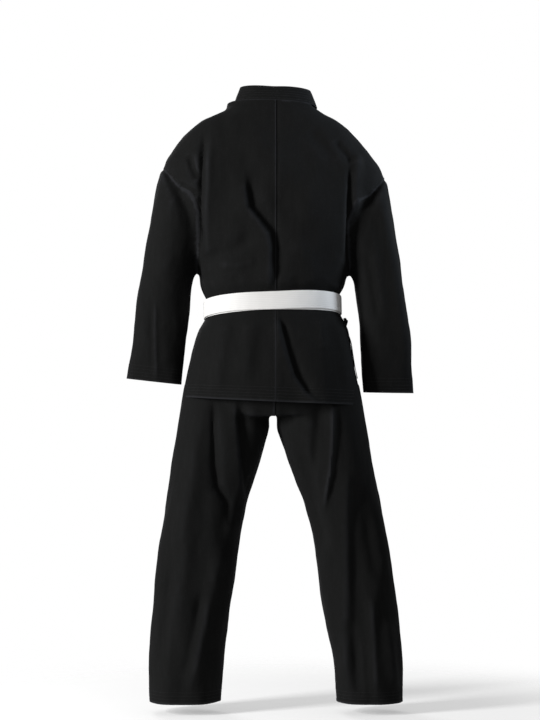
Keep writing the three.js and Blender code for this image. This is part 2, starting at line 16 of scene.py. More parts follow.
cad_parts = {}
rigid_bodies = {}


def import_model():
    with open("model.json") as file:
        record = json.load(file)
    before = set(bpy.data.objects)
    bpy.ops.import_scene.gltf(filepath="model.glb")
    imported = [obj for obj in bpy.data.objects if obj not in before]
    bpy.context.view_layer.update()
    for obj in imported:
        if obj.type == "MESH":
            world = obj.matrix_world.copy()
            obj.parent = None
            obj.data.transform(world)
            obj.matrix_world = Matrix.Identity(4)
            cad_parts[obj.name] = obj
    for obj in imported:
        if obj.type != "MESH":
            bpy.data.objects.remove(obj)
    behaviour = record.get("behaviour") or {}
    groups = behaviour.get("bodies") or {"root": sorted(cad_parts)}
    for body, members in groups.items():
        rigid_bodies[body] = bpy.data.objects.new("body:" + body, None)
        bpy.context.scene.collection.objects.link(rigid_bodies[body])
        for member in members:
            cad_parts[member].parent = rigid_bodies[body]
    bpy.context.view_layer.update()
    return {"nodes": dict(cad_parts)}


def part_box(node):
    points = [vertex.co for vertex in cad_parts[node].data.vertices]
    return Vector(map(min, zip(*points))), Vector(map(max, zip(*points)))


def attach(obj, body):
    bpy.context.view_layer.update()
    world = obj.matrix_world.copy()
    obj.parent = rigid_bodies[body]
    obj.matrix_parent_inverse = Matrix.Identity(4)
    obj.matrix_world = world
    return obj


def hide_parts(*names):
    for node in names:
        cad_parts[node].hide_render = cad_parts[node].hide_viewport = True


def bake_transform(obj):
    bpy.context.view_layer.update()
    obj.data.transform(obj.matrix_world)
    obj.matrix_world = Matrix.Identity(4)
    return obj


for spare in list(bpy.data.objects):  # what a new file holds
    bpy.data.objects.remove(spare)
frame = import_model()

MM = 0.001
CANVAS = 1.3 * MM  # thickness of the jacket's and trousers' cloth
BAND = 4.5 * MM  # thickness of the collar and lapel band
WEBBING = 3.2 * MM  # thickness of the belt
TAPE = 1.4 * MM
VOXEL = 4.6 * MM

Y, Z = np.eye(3)[1:]


# Sections of the frame


def corners_of(*names):
    """The triangles of some nodes, as an array of corners."""
    found = []
    for name in names:
        mesh = frame["nodes"][name].data
        mesh.calc_loop_triangles()
        places = np.empty(len(mesh.vertices) * 3)
        mesh.vertices.foreach_get("co", places)
        corners = np.empty(len(mesh.loop_triangles) * 3, int)
        mesh.loop_triangles.foreach_get("vertices", corners)
        found.append(places.reshape(-1, 3)[corners].reshape(-1, 3, 3))
    return np.concatenate(found)


def convex_outline(points):
    """The corners of the convex outline of points in a plane, in turning order."""
    points = sorted(map(tuple, np.round(points, 6)))

    def half(run):
        chain = []
        for p in run:
            while len(chain) > 1:
                (ax, ay), (bx, by) = chain[-2], chain[-1]
                if (bx - ax) * (p[1] - ay) - (by - ay) * (p[0] - ax) > 0:
                    break
                chain.pop()
            chain.append(p)
        return chain[:-1]

    return np.array(half(points) + half(points[::-1]))


class Plane:
    """A cutting plane through a point. It holds the Y direction, turned by lean, and an edge across."""

    def __init__(self, left, right, lean=0.0):
        self.left, self.right = np.array(left, float), np.array(right, float)
        self.middle = (self.left + self.right) / 2
        self.across = (self.left - self.right) / np.linalg.norm(self.left - self.right)
        back = Y + Z * lean
        self.normal = np.cross(self.across, back)
        self.normal /= np.linalg.norm(self.normal)
        self.back = np.cross(self.normal, self.across)

    def cut(self, triangles):
        """Where the plane crosses the triangles' edges, as distances across and back."""
        side = (triangles - self.middle) @ self.normal
        found = []
        for i, j in ((0, 1), (1, 2), (2, 0)):
            crosses = side[:, i] * side[:, j] < 0
            share = (side[:, i] / (side[:, i] - side[:, j] + 1e-12))[crosses][:, None]
            found.append(triangles[crosses, i] * (1 - share) + triangles[crosses, j] * share)
        found = np.concatenate(found) - self.middle
        return np.stack([found @ self.across, found @ self.back], 1)

    def at(self, across, back):
        return self.middle + np.multiply.outer(across, self.across) + np.multiply.outer(back, self.back)


def between(first, last, share, lean=(0.0, 0.0)):
    """The plane at a share of the way between two (left, right) edges, whose shares may differ."""
    a, b = share if np.ndim(share) else (share, share)
    left = np.array(first[0]) * (1 - a) + np.array(last[0]) * a
    right = np.array(first[1]) * (1 - b) + np.array(last[1]) * b
    return Plane(left, right, lean[0] * (1 - a) + lean[1] * a)


def outline(plane, triangles, count=120):
    """Points round a tube's outer face in a plane, from its left side by its back, by angle."""
    hull = convex_outline(plane.cut(triangles))
    middle = (hull.max(0) + hull.min(0)) / 2
    hull = np.vstack([hull, hull[:1]])
    fine = np.concatenate([np.linspace(a, b, 12)[:-1] for a, b in zip(hull, hull[1:])]) - middle
    angle = np.arctan2(fine[:, 1], fine[:, 0]) % math.tau
    order = np.argsort(angle)
    reach = np.hypot(*fine.T)[order]
    turns = np.linspace(0, math.tau, count, endpoint=False)
    radius = np.interp(turns, angle[order], reach, period=math.tau)
    for _ in range(2):
        radius = (np.roll(radius, 1) + 2 * radius + np.roll(radius, -1)) / 4
    return turns, radius, middle


def span(plane, triangles, middle):
    """The angles between which a panel lies in a plane, counted on from the left side by the back."""
    points = plane.cut(triangles) - middle
    angle = np.sort(np.arctan2(points[:, 1], points[:, 0]) % math.tau)
    gaps = np.diff(np.append(angle, angle[0] + math.tau))
    widest = int(np.argmax(gaps))
    start = angle[(widest + 1) % len(angle)]
    end = angle[widest]
    return start, end if end > start else end + math.tau


# Meshes


def mesh_object(name, places, faces):
    mesh = bpy.data.meshes.new(name)
    mesh.from_pydata([tuple(p) for p in places], [], faces)
    mesh.validate()
    made = bpy.data.objects.new(name, mesh)
    bpy.context.scene.collection.objects.link(made)
    return made


def grid_faces(rows, columns, closed=False):
    wide = columns if closed else columns + 1
    return [
        (i * wide + j, i * wide + (j + 1) % wide, (i + 1) * wide + (j + 1) % wide, (i + 1) * wide + j)
        for i in range(rows)
        for j in range(columns)
    ]


def filled_tube(rings):
    """A closed tube through rings of equally many points, as places and faces."""
    count = len(rings[0])
    faces = grid_faces(len(rings) - 1, count, closed=True)
    places = np.concatenate(rings)
    last = len(places) - count
    return places, faces + [tuple(range(count))[::-1], tuple(range(last, last + count))]


def joined(parts):
    places, faces, base = [], [], 0
    for p, f in parts:
        places.append(p)
        faces += [tuple(i + base for i in face) for face in f]
        base += len(p)
    return np.concatenate(places), faces


def settle(made):
    """Applies an object's modifiers to its mesh."""
    evaluated = made.evaluated_get(bpy.context.evaluated_depsgraph_get())
    mesh = bpy.data.meshes.new_from_object(evaluated)
    made.modifiers.clear()
    made.data = mesh
    return made


def modify(made, kind, **settings):
    modifier = made.modifiers.new(kind.lower(), kind)
    for key, value in settings.items():
        setattr(modifier, key, value)
    return modifier


def fused(name, tubes, smooth=10):
    """One skin round overlapping closed tubes."""
    made = mesh_object(name, *joined(tubes))
    correct_faces(made)
    modify(made, "REMESH", mode="VOXEL", voxel_size=VOXEL, adaptivity=0)
    settle(made)
    modify(made, "SMOOTH", factor=0.5, iterations=smooth)
    return settle(made)


def correct_faces(made):
    work = bmesh.new()
    work.from_mesh(made.data)
    bmesh.ops.recalc_face_normals(work, faces=work.faces)
    work.to_mesh(made.data)
    work.free()


def places_of(made):
    places = np.empty(len(made.data.vertices) * 3)
    made.data.vertices.foreach_get("co", places)
    return places.reshape(-1, 3)


def normals_of(made):
    normals = np.empty(len(made.data.vertices) * 3)
    made.data.vertices.foreach_get("normal", normals)
    return normals.reshape(-1, 3)


def place(made, places):
    made.data.vertices.foreach_set("co", np.asarray(places, np.float64).ravel())
    made.data.update()


def slice_off(made, point, normal, keep=lambda centre: True):
    """Cuts away what lies beyond a plane, among the faces that keep chooses."""
    work = bmesh.new()
    work.from_mesh(made.data)
    chosen = [f for f in work.faces if keep(f.calc_center_median())]
    geometry = list({e for f in chosen for e in (*f.verts, *f.edges)}) + chosen
    cut = bmesh.ops.bisect_plane(work, geom=geometry, plane_co=point, plane_no=normal, dist=1e-6)
    normal, point = Vector(normal), Vector(point)
    faces = [f for f in cut["geom"] if isinstance(f, bmesh.types.BMFace) and f.is_valid]
    beyond = [f for f in faces if (f.calc_center_median() - point).dot(normal) > 0]
    bmesh.ops.delete(work, geom=beyond, context="FACES")
    work.to_mesh(made.data)
    work.free()


def drop_loose(made):
    """Keeps the largest connected part of a mesh."""
    work = bmesh.new()
    work.from_mesh(made.data)
    work.verts.ensure_lookup_table()
    seen, groups = set(), []
    for v in work.verts:
        if v.index in seen:
            continue
        group, stack = [], [v]
        seen.add(v.index)
        while stack:
            here = stack.pop()
            group.append(here)
            for e in here.link_edges:
                other = e.other_vert(here)
                if other.index not in seen:
                    seen.add(other.index)
                    stack.append(other)
        groups.append(group)
    groups.sort(key=len, reverse=True)
    bmesh.ops.delete(work, geom=[v for g in groups[1:] for v in g], context="VERTS")
    work.to_mesh(made.data)
    work.free()


def smoothstep(a, b, x):
    t = np.clip((x - a) / (b - a), 0, 1)
    return t * t * (3 - 2 * t)


def smoothed(made):
    """Shades a mesh smooth."""
    for polygon in made.data.polygons:
        polygon.use_smooth = True
    return made


def rim_shaded(made, angle=40):
    """Shades a mesh smooth, apart from edges sharper than an angle, such as a sheet's rim."""
    smoothed(made).data.set_sharp_from_angle(angle=math.radians(angle))
    return made


def thicken(made, thickness):
    """Gives cloth its thickness, on the inside."""
    modify(made, "SOLIDIFY", thickness=thickness, offset=-1, use_even_offset=False)
    return rim_shaded(settle(made))


# Cloth's own shape: folds laid along lines, and soft unevenness


class Fold:
    """A fold along a line of (x, z) points on the garment's back (+1) or front (-1).

    height is how far its crest stands out, width how far its flanks reach, and step makes it
    one-sided, as where one fall of cloth lies over the next. A crisp fold has a steep edge.
    """

    def __init__(self, line, height, width, step=0.0, side=1, crisp=1.0):
        self.line = np.array(line, float) * MM
        self.height, self.width, self.step, self.side = 1.5 * height * MM, width * MM, 1.5 * step * MM, side
        self.crisp = crisp

    def shape(self, places, normals):
        spot = places[:, [0, 2]]
        best = np.full(len(spot), 9.0)
        signed = np.zeros(len(spot))
        along = np.zeros(len(spot))
        lengths = np.linalg.norm(np.diff(self.line, axis=0), axis=1)
        total, walked = lengths.sum(), 0.0
        for a, b, length in zip(self.line, self.line[1:], lengths):
            way = (b - a) / length
            t = np.clip((spot - a) @ way, 0, length)
            off = spot - (a + np.outer(t, way))
            distance = np.linalg.norm(off, axis=1)
            nearer = distance < best
            best[nearer] = distance[nearer]
            cross = off[:, 0] * way[1] - off[:, 1] * way[0]
            signed[nearer] = np.sign(cross[nearer]) * distance[nearer]
            along[nearer] = ((walked + t) / total)[nearer]
            walked += length
        d = signed / self.width
        fade = smoothstep(0, 0.22, along) * smoothstep(0, 0.22, 1 - along)
        crest = self.height * np.exp(-2.2 * np.abs(d) ** (2.0 if self.crisp == 1.0 else 1.3))
        fall = self.step * np.tanh(self.crisp * d) * np.exp(-1.4 * d * d)
        facing = smoothstep(-0.15, 0.35, normals[:, 1] * self.side)
        return (crest + fall) * fade * facing


def uneven(places, scale, amount, seed):
    """A soft field of heights, amount either way, whose waves run scale long in x, y and z."""
    shift = Vector((seed * 7.31, seed * 3.17, seed * 5.71))
    inverse = Vector([1 / s for s in scale])
    field = [noise.noise(Vector(p) * inverse + shift) for p in places]
    return amount * np.array(field)


def drape(made, folds, fields, hold=None):
    """Moves a mesh along its normals by its folds and uneven fields; hold is 0 where it stays."""
    places, normals = places_of(made), normals_of(made)
    out = np.zeros(len(places))
    for fold in folds:
        out += fold.shape(places, normals)
    for scale, amount, seed in fields:
        out += uneven(places, np.array(scale) * MM, amount * MM, seed)
    if hold is not None:
        out *= hold(places)
    place(made, places + normals * out[:, None])


# Finishes


class Value:
    """A socket that numbers and other sockets can be added to, multiplied with and so on."""

    def __init__(self, finish, socket):
        self.finish, self.socket = finish, socket

    def _with(self, operation, other, swap=False):
        pair = (other, self) if swap else (self, other)
        return self.finish.node("ShaderNodeMath", {"operation": operation}, *pair)

    def __add__(self, other):
        return self._with("ADD", other)

    def __sub__(self, other):
        return self._with("SUBTRACT", other)

    def __rsub__(self, other):
        return self._with("SUBTRACT", other, swap=True)

    def __mul__(self, other):
        return self._with("MULTIPLY", other)

    def __truediv__(self, other):
        return self._with("DIVIDE", other)

    __radd__ = __add__
    __rmul__ = __mul__

    def power(self, other):
        return self._with("POWER", other)

    def fraction(self):
        return self.finish.node("ShaderNodeMath", {"operation": "FRACT"}, self)

    def absolute(self):
        return self.finish.node("ShaderNodeMath", {"operation": "ABSOLUTE"}, self)

    def wave(self):
        """The sine of the value, in whole turns."""
        return self.finish.node("ShaderNodeMath", {"operation": "SINE"}, self * math.tau)

    def clamp(self):
        return self.finish.node("ShaderNodeMath", {"operation": "ADD", "use_clamp": True}, self, 0.0)

    def rise(self, low, high):
        """0 up to low, 1 from high, and a soft rise between."""
        ranges = {"interpolation_type": "SMOOTHSTEP"}
        return self.finish.node("ShaderNodeMapRange", ranges, self, low, high, 0.0, 1.0)


class Finish:
    """A material and its nodes."""

    def __init__(self, name):
        self.material = bpy.data.materials.new(name)
        self.material.use_nodes = True
        self.tree = self.material.node_tree
        self.tree.nodes.clear()
        self.shader = self.tree.nodes.new("ShaderNodeBsdfPrincipled")
        output = self.tree.nodes.new("ShaderNodeOutputMaterial")
        self.tree.links.new(self.shader.outputs["BSDF"], output.inputs["Surface"])

    def node(self, kind, settings=(), *inputs, out=0, **named):
        made = self.tree.nodes.new(kind)
        for key, value in dict(settings).items():
            setattr(made, key, value)
        for key, value in [*enumerate(inputs), *named.items()]:
            self.feed(made.inputs[key], value)
        return Value(self, made.outputs[out])

    def feed(self, socket, value):
        if isinstance(value, Value):
            self.tree.links.new(value.socket, socket)
        elif value is not None:
            socket.default_value = value

    def set(self, **values):
        for name, value in values.items():
            self.feed(self.shader.inputs[name.replace("_", " ")], value)

    def place(self):
        return self.node("ShaderNodeTexCoord", out="Object")

    def uv(self):
        return self.node("ShaderNodeTexCoord", out="UV")

    def split(self, vector):
        made = self.tree.nodes.new("ShaderNodeSeparateXYZ")
        self.feed(made.inputs[0], vector)
        return [Value(self, s) for s in made.outputs]

    def noise(self, scale, detail=2.0, vector=None, roughness=0.5):
        vector = vector or self.place()
        return self.node("ShaderNodeTexNoise", (), vector, Scale=scale, Detail=detail, Roughness=roughness)

    def mix(self, factor, a, b):
        made = self.tree.nodes.new("ShaderNodeMix")
        made.data_type = "RGBA"
        for socket, value in ((made.inputs[0], factor), (made.inputs[6], a), (made.inputs[7], b)):
            self.feed(socket, value)
        return Value(self, made.outputs[2])

    def bump(self, height, distance, strength=1.0):
        return self.node("ShaderNodeBump", (), Height=height, Distance=distance, Strength=strength)


def canvas(name, thread=0.62 * MM, dark=(0.0027, 0.0028, 0.0028, 1), light=(0.0074, 0.0075, 0.0073, 1)):
    """Plain-weave cotton canvas: warp and weft by turns over and under, slubs, faded creases, lint, and a
    faint painted highlight where the weave stands up.
    """
    f = Finish(name)
    x, y, z = f.split(f.place())
    around = x + y * 0.83
    warp = (around / (2 * thread)).wave()
    weft = (z / (2 * thread)).wave()
    over = warp * weft
    slub = f.noise(420.0, 1.0)
    cloud = f.noise(7.0, 3.0, roughness=0.6)
    drawn_out = f.node("ShaderNodeVectorMath", {"operation": "MULTIPLY"}, f.place(), (140, 140, 9))
    streak = f.noise(1.0, 2.0, vector=drawn_out)
    worn = f.node("ShaderNodeNewGeometry", out="Pointiness").rise(0.5, 0.56)
    # the cloth's own tone from clouds, streaks and slubs, plus a faint painted highlight on the raised weave
    # crossings
    tone_and_weave_highlight = (cloud * 0.6 + streak * 0.35 + over * 0.06 + slub * 0.12 - 0.12).clamp()
    colour = f.mix(tone_and_weave_highlight, dark, light)
    faded = f.mix((worn * 0.55).clamp(), colour, (0.019, 0.0195, 0.022, 1))
    lint = f.noise(900.0, 0.0).rise(0.77, 0.8)
    f.set(Base_Color=f.mix(lint * 0.35, faded, (0.04, 0.04, 0.045, 1)))
    f.set(Roughness=(0.86 + cloud * 0.1 - over * 0.03).clamp())
    f.set(Normal=f.bump(over * 0.5 + slub * 0.4 + streak * 0.2, 0.22 * MM, 0.5))
    f.set(Sheen_Weight=0.012, Sheen_Roughness=0.4, Specular_IOR_Level=0.08)
    f.shader.inputs["Sheen Tint"].default_value = (0.72, 0.76, 0.9, 1)
    return f.material


def belt_cotton():
    """White cotton belt: fine ribs across it and rows of stitching along it, on the piece's UV map, with
    painted shade in the sewn channels and between the ribs.
    """
    f = Finish("white_belt_cotton")
    along, across, _ = f.split(f.uv())
    rib = (along / (1.9 * MM)).wave()
    rows = ((across / (4.5 * MM)).fraction() - 0.5).absolute()
    channel = 1 - rows.rise(0.0, 0.16)
    stitch = ((along / (3.2 * MM)).fraction() - 0.5).absolute().rise(0.14, 0.22)
    cloud = f.noise(16.0, 3.0)
    thread = f.noise(700.0, 1.0)
    # the clouds are the cotton's own tone; darker sewn channels and lighter rib crests are painted shade
    tone_and_channel_shade = (0.25 + cloud * 0.35 + channel * 0.3 - rib * 0.1).clamp()
    colour = f.mix(tone_and_channel_shade, (0.73, 0.72, 0.70, 1), (0.50, 0.495, 0.49, 1))
    f.set(Base_Color=colour, Roughness=(0.8 + thread * 0.12).clamp())
    height = rib * 0.35 + thread * 0.3 - channel * (1.2 - stitch * 0.8)
    f.set(Normal=f.bump(height, 0.35 * MM, 0.7))
    f.set(Sheen_Weight=0.1, Sheen_Roughness=0.5, Specular_IOR_Level=0.3)
    return f.material


def thread(name, colour):
    f = Finish(name)
    twist = f.noise(1800.0, 1.0)
    f.set(Base_Color=f.mix(twist, colour, tuple(c * 1.5 for c in colour[:3]) + (1,)))
    f.set(Roughness=(0.55 + twist * 0.2).clamp(), Normal=f.bump(twist, 0.1 * MM, 0.5))
    f.set(Specular_IOR_Level=0.35)
    return f.material


def ribbed_elastic():
    f = Finish("elastic_webbing")
    _, _, z = f.split(f.place())
    rib = (z / (2.2 * MM)).wave()
    # lighter on the rib crests and darker between them, following the bump: painted shade
    f.set(Base_Color=f.mix((rib * 0.5 + 0.5).clamp(), (0.012, 0.012, 0.013, 1), (0.03, 0.03, 0.033, 1)))
    f.set(Roughness=0.8, Normal=f.bump(rib, 0.5 * MM, 0.6))
    return f.material


def studio_floor():
    f = Finish("studio_floor")
    x, y, _ = f.split(f.place())
    away = (x * x + y * y).power(0.5)
    f.set(Base_Color=f.mix(f.noise(3.0, 2.0), (0.95, 0.95, 0.95, 1), (0.97, 0.97, 0.97, 1)), Roughness=0.9)
    f.set(Alpha=0.6 - 0.6 * away.rise(0.5, 1.2), Specular_IOR_Level=0.1)
    return f.material


BLACK = canvas("black_cotton_canvas")
FACING = canvas("black_cotton_facing", thread=0.5 * MM, dark=(0.0035, 0.0036, 0.004, 1))
WHITE = belt_cotton()
ELASTIC = ribbed_elastic()
BLACK_THREAD = thread("black_sewing_thread", (0.006, 0.006, 0.007, 1))


def dress(made, material, slot):
    made.data.materials.clear()
    made.data.materials.append(material)
    return made


# Shapes of the jacket's body


def middle_plane(name):
    """The plane z = a + b x + c y that lies closest to a node."""
    points = corners_of(name).reshape(-1, 3)
    return plane_through(points)


def plane_through(points):
    rows = np.column_stack([np.ones(len(points)), points[:, :2]])
    return np.linalg.lstsq(rows, points[:, 2], rcond=None)[0]


def lower_edge(name):
    """The plane of a standing band's lower edge."""
    points = corners_of(name).reshape(-1, 3)
    a, b, c = plane_through(points)
    above = points[:, 2] - (a + b * points[:, 0] + c * points[:, 1])
    return plane_through(points[above < above.min() * 0.6])


BELT_MIDDLE = middle_plane("belt_outer_wrap")
BELT_HALF = 22.5 * MM
NECK_LINE = lower_edge("collar_band")


def height_on(plane, x, y=0.0):
    return plane[0] + plane[1] * x + plane[2] * y


def level(z, lean=0.0, tilt=0.0):
    reach = 0.1
    return Plane((reach, 0, z + tilt * reach), (-reach, 0, z - tilt * reach), lean)


class Tube:
    """A skin through the frame's sections, sampled by share up it and by turn round it."""

    def __init__(self, planes, triangles, count=144):
        self.rings = []
        for plane in planes:
            turns, radius, middle = outline(plane, triangles, count)
            across, back = middle[0] + radius * np.cos(turns), middle[1] + radius * np.sin(turns)
            self.rings.append(plane.at(across, back))
        self.rings = np.array(self.rings)

    def grown(self, first=(), last=()):
        """The same with more rings in front or behind."""
        self.rings = np.array([*first, *self.rings, *last])
        return self

    def at(self, share, turn):
        rows, count = self.rings.shape[:2]
        share, turn = np.broadcast_arrays(share, turn)
        up = np.clip(share, 0, 1) * (rows - 1)
        round_ = (turn / math.tau * count) % count
        i, j = np.minimum(up.astype(int), rows - 2), round_.astype(int) % count
        f, g = (up - i)[..., None], (round_ - np.floor(round_))[..., None]
        k = (j + 1) % count
        low = self.rings[i, j] * (1 - g) + self.rings[i, k] * g
        high = self.rings[i + 1, j] * (1 - g) + self.rings[i + 1, k] * g
        return low * (1 - f) + high * f

    def front_turn(self, share, x):
        """The turn on the front where the skin is at x."""
        low, high = np.full(np.shape(share), math.pi), np.full(np.shape(share), math.tau)
        for _ in range(30):
            turn = (low + high) / 2
            left_of = self.at(share, turn)[..., 0] < x
            low, high = np.where(left_of, turn, low), np.where(left_of, high, turn)
        return turn


def grid_normals(places):
    up, along = np.gradient(places, axis=0), np.gradient(places, axis=1)
    normals = np.cross(along, up)
    return normals / np.maximum(np.linalg.norm(normals, axis=2, keepdims=True), 1e-9)


def lay_uv(made, places):
    """A UV map in metres: u along the grid's rows, v across them."""
    u = np.cumsum(np.linalg.norm(np.diff(places, axis=1, prepend=places[:, :1]), axis=2), axis=1)
    v = np.cumsum(np.linalg.norm(np.diff(places, axis=0, prepend=places[:1]), axis=2), axis=0)
    corner = np.empty(len(made.data.loops), int)
    made.data.loops.foreach_get("vertex_index", corner)
    spots = np.stack([u.ravel(), v.ravel()], 1)[corner]
    made.data.uv_layers.new(name="UVMap").data.foreach_set("uv", spots.ravel())


BODY_NODES = ("left_bodice", "right_bodice", "left_lapel", "right_lapel")
SKIRT_NODES = ("back_skirt_left", "back_skirt_right", "front_skirt_outer", "front_skirt_under")


def body_tube(rows=48):
    """The jacket's body from under the belt's middle to the neck, run on past both ends."""
    triangles = corners_of(*BODY_NODES)
    low, high = BELT_MIDDLE[0] - 0.02, NECK_LINE[0] - 0.004
    planes = []
    for z in np.linspace(low, high, rows):
        lean = BELT_MIDDLE[2] * (1 - smoothstep(0.02, 0.1, z)) + NECK_LINE[2] * smoothstep(0.42, high, z)
        planes.append(level(z, lean))
    tube = Tube(planes, triangles)
    top, bottom = tube.rings[-1], tube.rings[0]
    shrunk = (top - top.mean(0)) * 0.97 + top.mean(0)
    return tube.grown([bottom - Z * 0.03], [shrunk + Z * 0.02, shrunk + Z * 0.045])


def sleeve_edges(side):
    """The armhole's ends and the cuff's, as (outer, inner) places on the sleeve."""
    name = "left" if side > 0 else "right"
    sleeve = corners_of(f"{name}_sleeve").reshape(-1, 3)
    reach = sleeve[:, 0] * side
    top = sleeve[np.argmax(sleeve[:, 2])]
    pit_x = reach[sleeve[:, 2] > 0.03].min()
    pit_z = sleeve[reach < pit_x + 0.004][:, 2].mean()
    low = sleeve[sleeve[:, 2] < sleeve[:, 2].min() + 0.03]
    outer = sleeve[np.argmax(reach)]
    inner = low[np.argmin(low[:, 0] * side)]
    armhole = np.array(((top[0], 0, top[2]), (side * pit_x, 0, pit_z)))
    cuff = np.array(((outer[0], 0, outer[2]), (inner[0], 0, inner[2])))
    return armhole, cuff


def sleeve_tube(side, rows=36):
    triangles = corners_of("left_sleeve" if side > 0 else "right_sleeve")
    armhole, cuff = sleeve_edges(side)
    order = slice(None, None, side)
    planes = []
    for t in np.linspace(0.02, 0.992, rows):
        planes.append(between(armhole[order], cuff[order], (t, t**1.8)[order]))
    tube = Tube(planes, triangles, 100)
    first, last = tube.rings[0], tube.rings[-1]
    centre = first.mean(0)
    heart = np.array([side * 0.12, 0, armhole[1][2] + 0.14])
    inside = [heart + (first - centre) * 0.5, (centre * 0.6 + heart * 0.4) + (first - centre) * 0.86]
    way = last.mean(0) - tube.rings[-4].mean(0)
    return tube.grown(inside, [last + way / np.linalg.norm(way) * 0.03])


def closed(tube):
    return filled_tube(tube.rings)


# The armhole seam, dropped from the shoulder's edge down to the underarm


def armhole_seam(side):
    """The seam's line as (x, z) points from below the underarm up past the shoulder."""
    (top, pit), (_, inner) = sleeve_edges(side)
    out = side
    line = [
        (inner[0] - out * 0.022, inner[2] - 0.05),
        (pit[0] + out * 0.002, pit[2] + 0.006),
        (pit[0] - out * 0.003, top[2] - 0.117),
        (pit[0] + out * 0.018, top[2] - 0.068),
        (top[0] - out * 0.041, top[2] - 0.05),
        (top[0], top[2]),
        (top[0] + out * 0.03, top[2] + 0.06),
    ]
    return np.array(line)


def beyond_seam(places, side):
    """Which places lie on the sleeve's side of the armhole seam."""
    line = armhole_seam(side)
    edge = np.interp(places[:, 2], line[:, 1], line[:, 0] * side)
    return places[:, 0] * side > edge


def split_by(made, beyond, line, name):
    """Parts a mesh in two along a line of (x, z) points; the part beyond it becomes name."""
    mesh = made.data
    centres = np.empty(len(mesh.polygons) * 3)
    mesh.polygons.foreach_get("center", centres)
    far = beyond(centres.reshape(-1, 3))
    places = places_of(made)
    touched = [set(), set()]
    for polygon, is_far in zip(mesh.polygons, far):
        touched[int(is_far)].update(polygon.vertices)
    for index in touched[0] & touched[1]:
        spot = places[index, [0, 2]]
        feet = [foot_on(spot, a, b) for a, b in zip(line, line[1:])]
        places[index, [0, 2]] = min(feet, key=lambda foot: np.sum((foot - spot) ** 2))
    place(made, places)
    other = bpy.data.objects.new(name, mesh.copy())
    bpy.context.scene.collection.objects.link(other)
    for target, drop in ((made, far), (other, ~far)):
        work = bmesh.new()
        work.from_mesh(target.data)
        work.faces.ensure_lookup_table()
        bmesh.ops.delete(work, geom=[work.faces[i] for i in np.flatnonzero(drop)], context="FACES")
        work.to_mesh(target.data)
        work.free()
        drop_loose(target)
    return other


def foot_on(spot, a, b):
    t = np.clip(np.dot(spot - a, b - a) / np.dot(b - a, b - a), 0, 1)
    return a + (b - a) * t


# Folds of the jacket, on the back (side 1) and the front (side -1), in millimetres

JACKET_FOLDS = [
    Fold(
        [(66, 350), (65, 295), (60, 252), (35, 222), (11, 188), (3, 148), (3, 90), (7, 20)],
        -3, 32, step=-7, crisp=5,
    ),
    Fold([(48, 478), (40, 400), (-20, 310), (-70, 255), (-120, 180)], 4, 55, step=4),
    Fold([(174, 450), (184, 340), (187, 285), (190, 215), (186, 120)], -10, 17, step=-3, crisp=2),
    Fold([(168, 430), (166, 330), (168, 200), (160, 80)], 4, 20),
    Fold([(214, 388), (204, 352), (190, 318)], -5, 13, step=3),
    Fold([(244, 310), (218, 294), (190, 280)], -4, 14, step=-3),
    Fold([(-88, 452), (-130, 400), (-160, 372)], -3, 24, step=3),
    Fold([(-150, 420), (-178, 392), (-200, 362)], -5, 16, step=3),
    Fold([(-192, 364), (-188, 280), (-186, 200), (-186, 90)], -9, 17, step=-3, crisp=2),
    Fold([(-214, 395), (-200, 300), (-207, 236)], 5, 18),
    Fold([(-262, 330), (-270, 240), (-290, 130), (-312, 0), (-334, -160)], 7, 22, step=4),
    Fold([(-252, 290), (-226, 256), (-206, 236)], -1.5, 20, step=2),
    Fold([(-230, 150), (-246, 60), (-262, -40)], -4, 20),
    Fold([(301, 30), (302, -60), (300, -190)], 1.5, 9, step=3.5),
    Fold([(246, 300), (268, 180), (284, 60)], 4, 40, step=2),
    Fold([(196, 112), (131, 130), (90, 148), (40, 182)], -4, 26, step=-3),
    Fold([(140, 104), (90, 104), (40, 116)], 2, 18, step=1),
    Fold([(-40, 170), (-92, 112), (-104, 46)], 2.5, 30),
    Fold([(-116, 60), (-140, 96), (-172, 136)], 2, 26),
    Fold([(104, 84), (88, 46), (78, 8)], -2.5, 20),
    Fold([(-52, 84), (-60, 44), (-60, 6)], -2.5, 20),
    Fold([(-154, 70), (-147, 34), (-140, 4)], 2.5, 20),
    Fold([(170, 330), (120, 250), (60, 170), (10, 90)], 6, 30, step=4, side=-1),
    Fold([(-170, 320), (-130, 230), (-110, 120), (-100, 50)], 5, 26, step=-3, side=-1),
    Fold([(184, 330), (187, 240), (186, 110)], -8, 18, side=-1),
    Fold([(-186, 330), (-189, 240), (-188, 110)], -8, 18, side=-1),
    Fold([(150, 120), (120, 80), (90, 30)], 5, 16, side=-1),
    Fold([(100, 130), (60, 70), (20, 20)], 5, 18, side=-1),
    Fold([(280, 250), (300, 100), (318, -80)], 5, 30, step=3, side=-1),
    Fold([(-270, 240), (-290, 100), (-310, -100)], 5, 30, step=-3, side=-1),
    Fold([(230, 190), (214, 130), (206, 60)], -5, 18, side=-1),
    Fold([(-228, 180), (-212, 120), (-204, 50)], -5, 18, side=-1),
]
SOFT = [((70, 70, 150), 5.0, 3), ((34, 34, 70), 2.0, 5), ((13, 13, 22), 0.5, 7)]


SHOULDER_DROP = 8 * MM  # how far the shoulders slope below the frame's, beside the neck


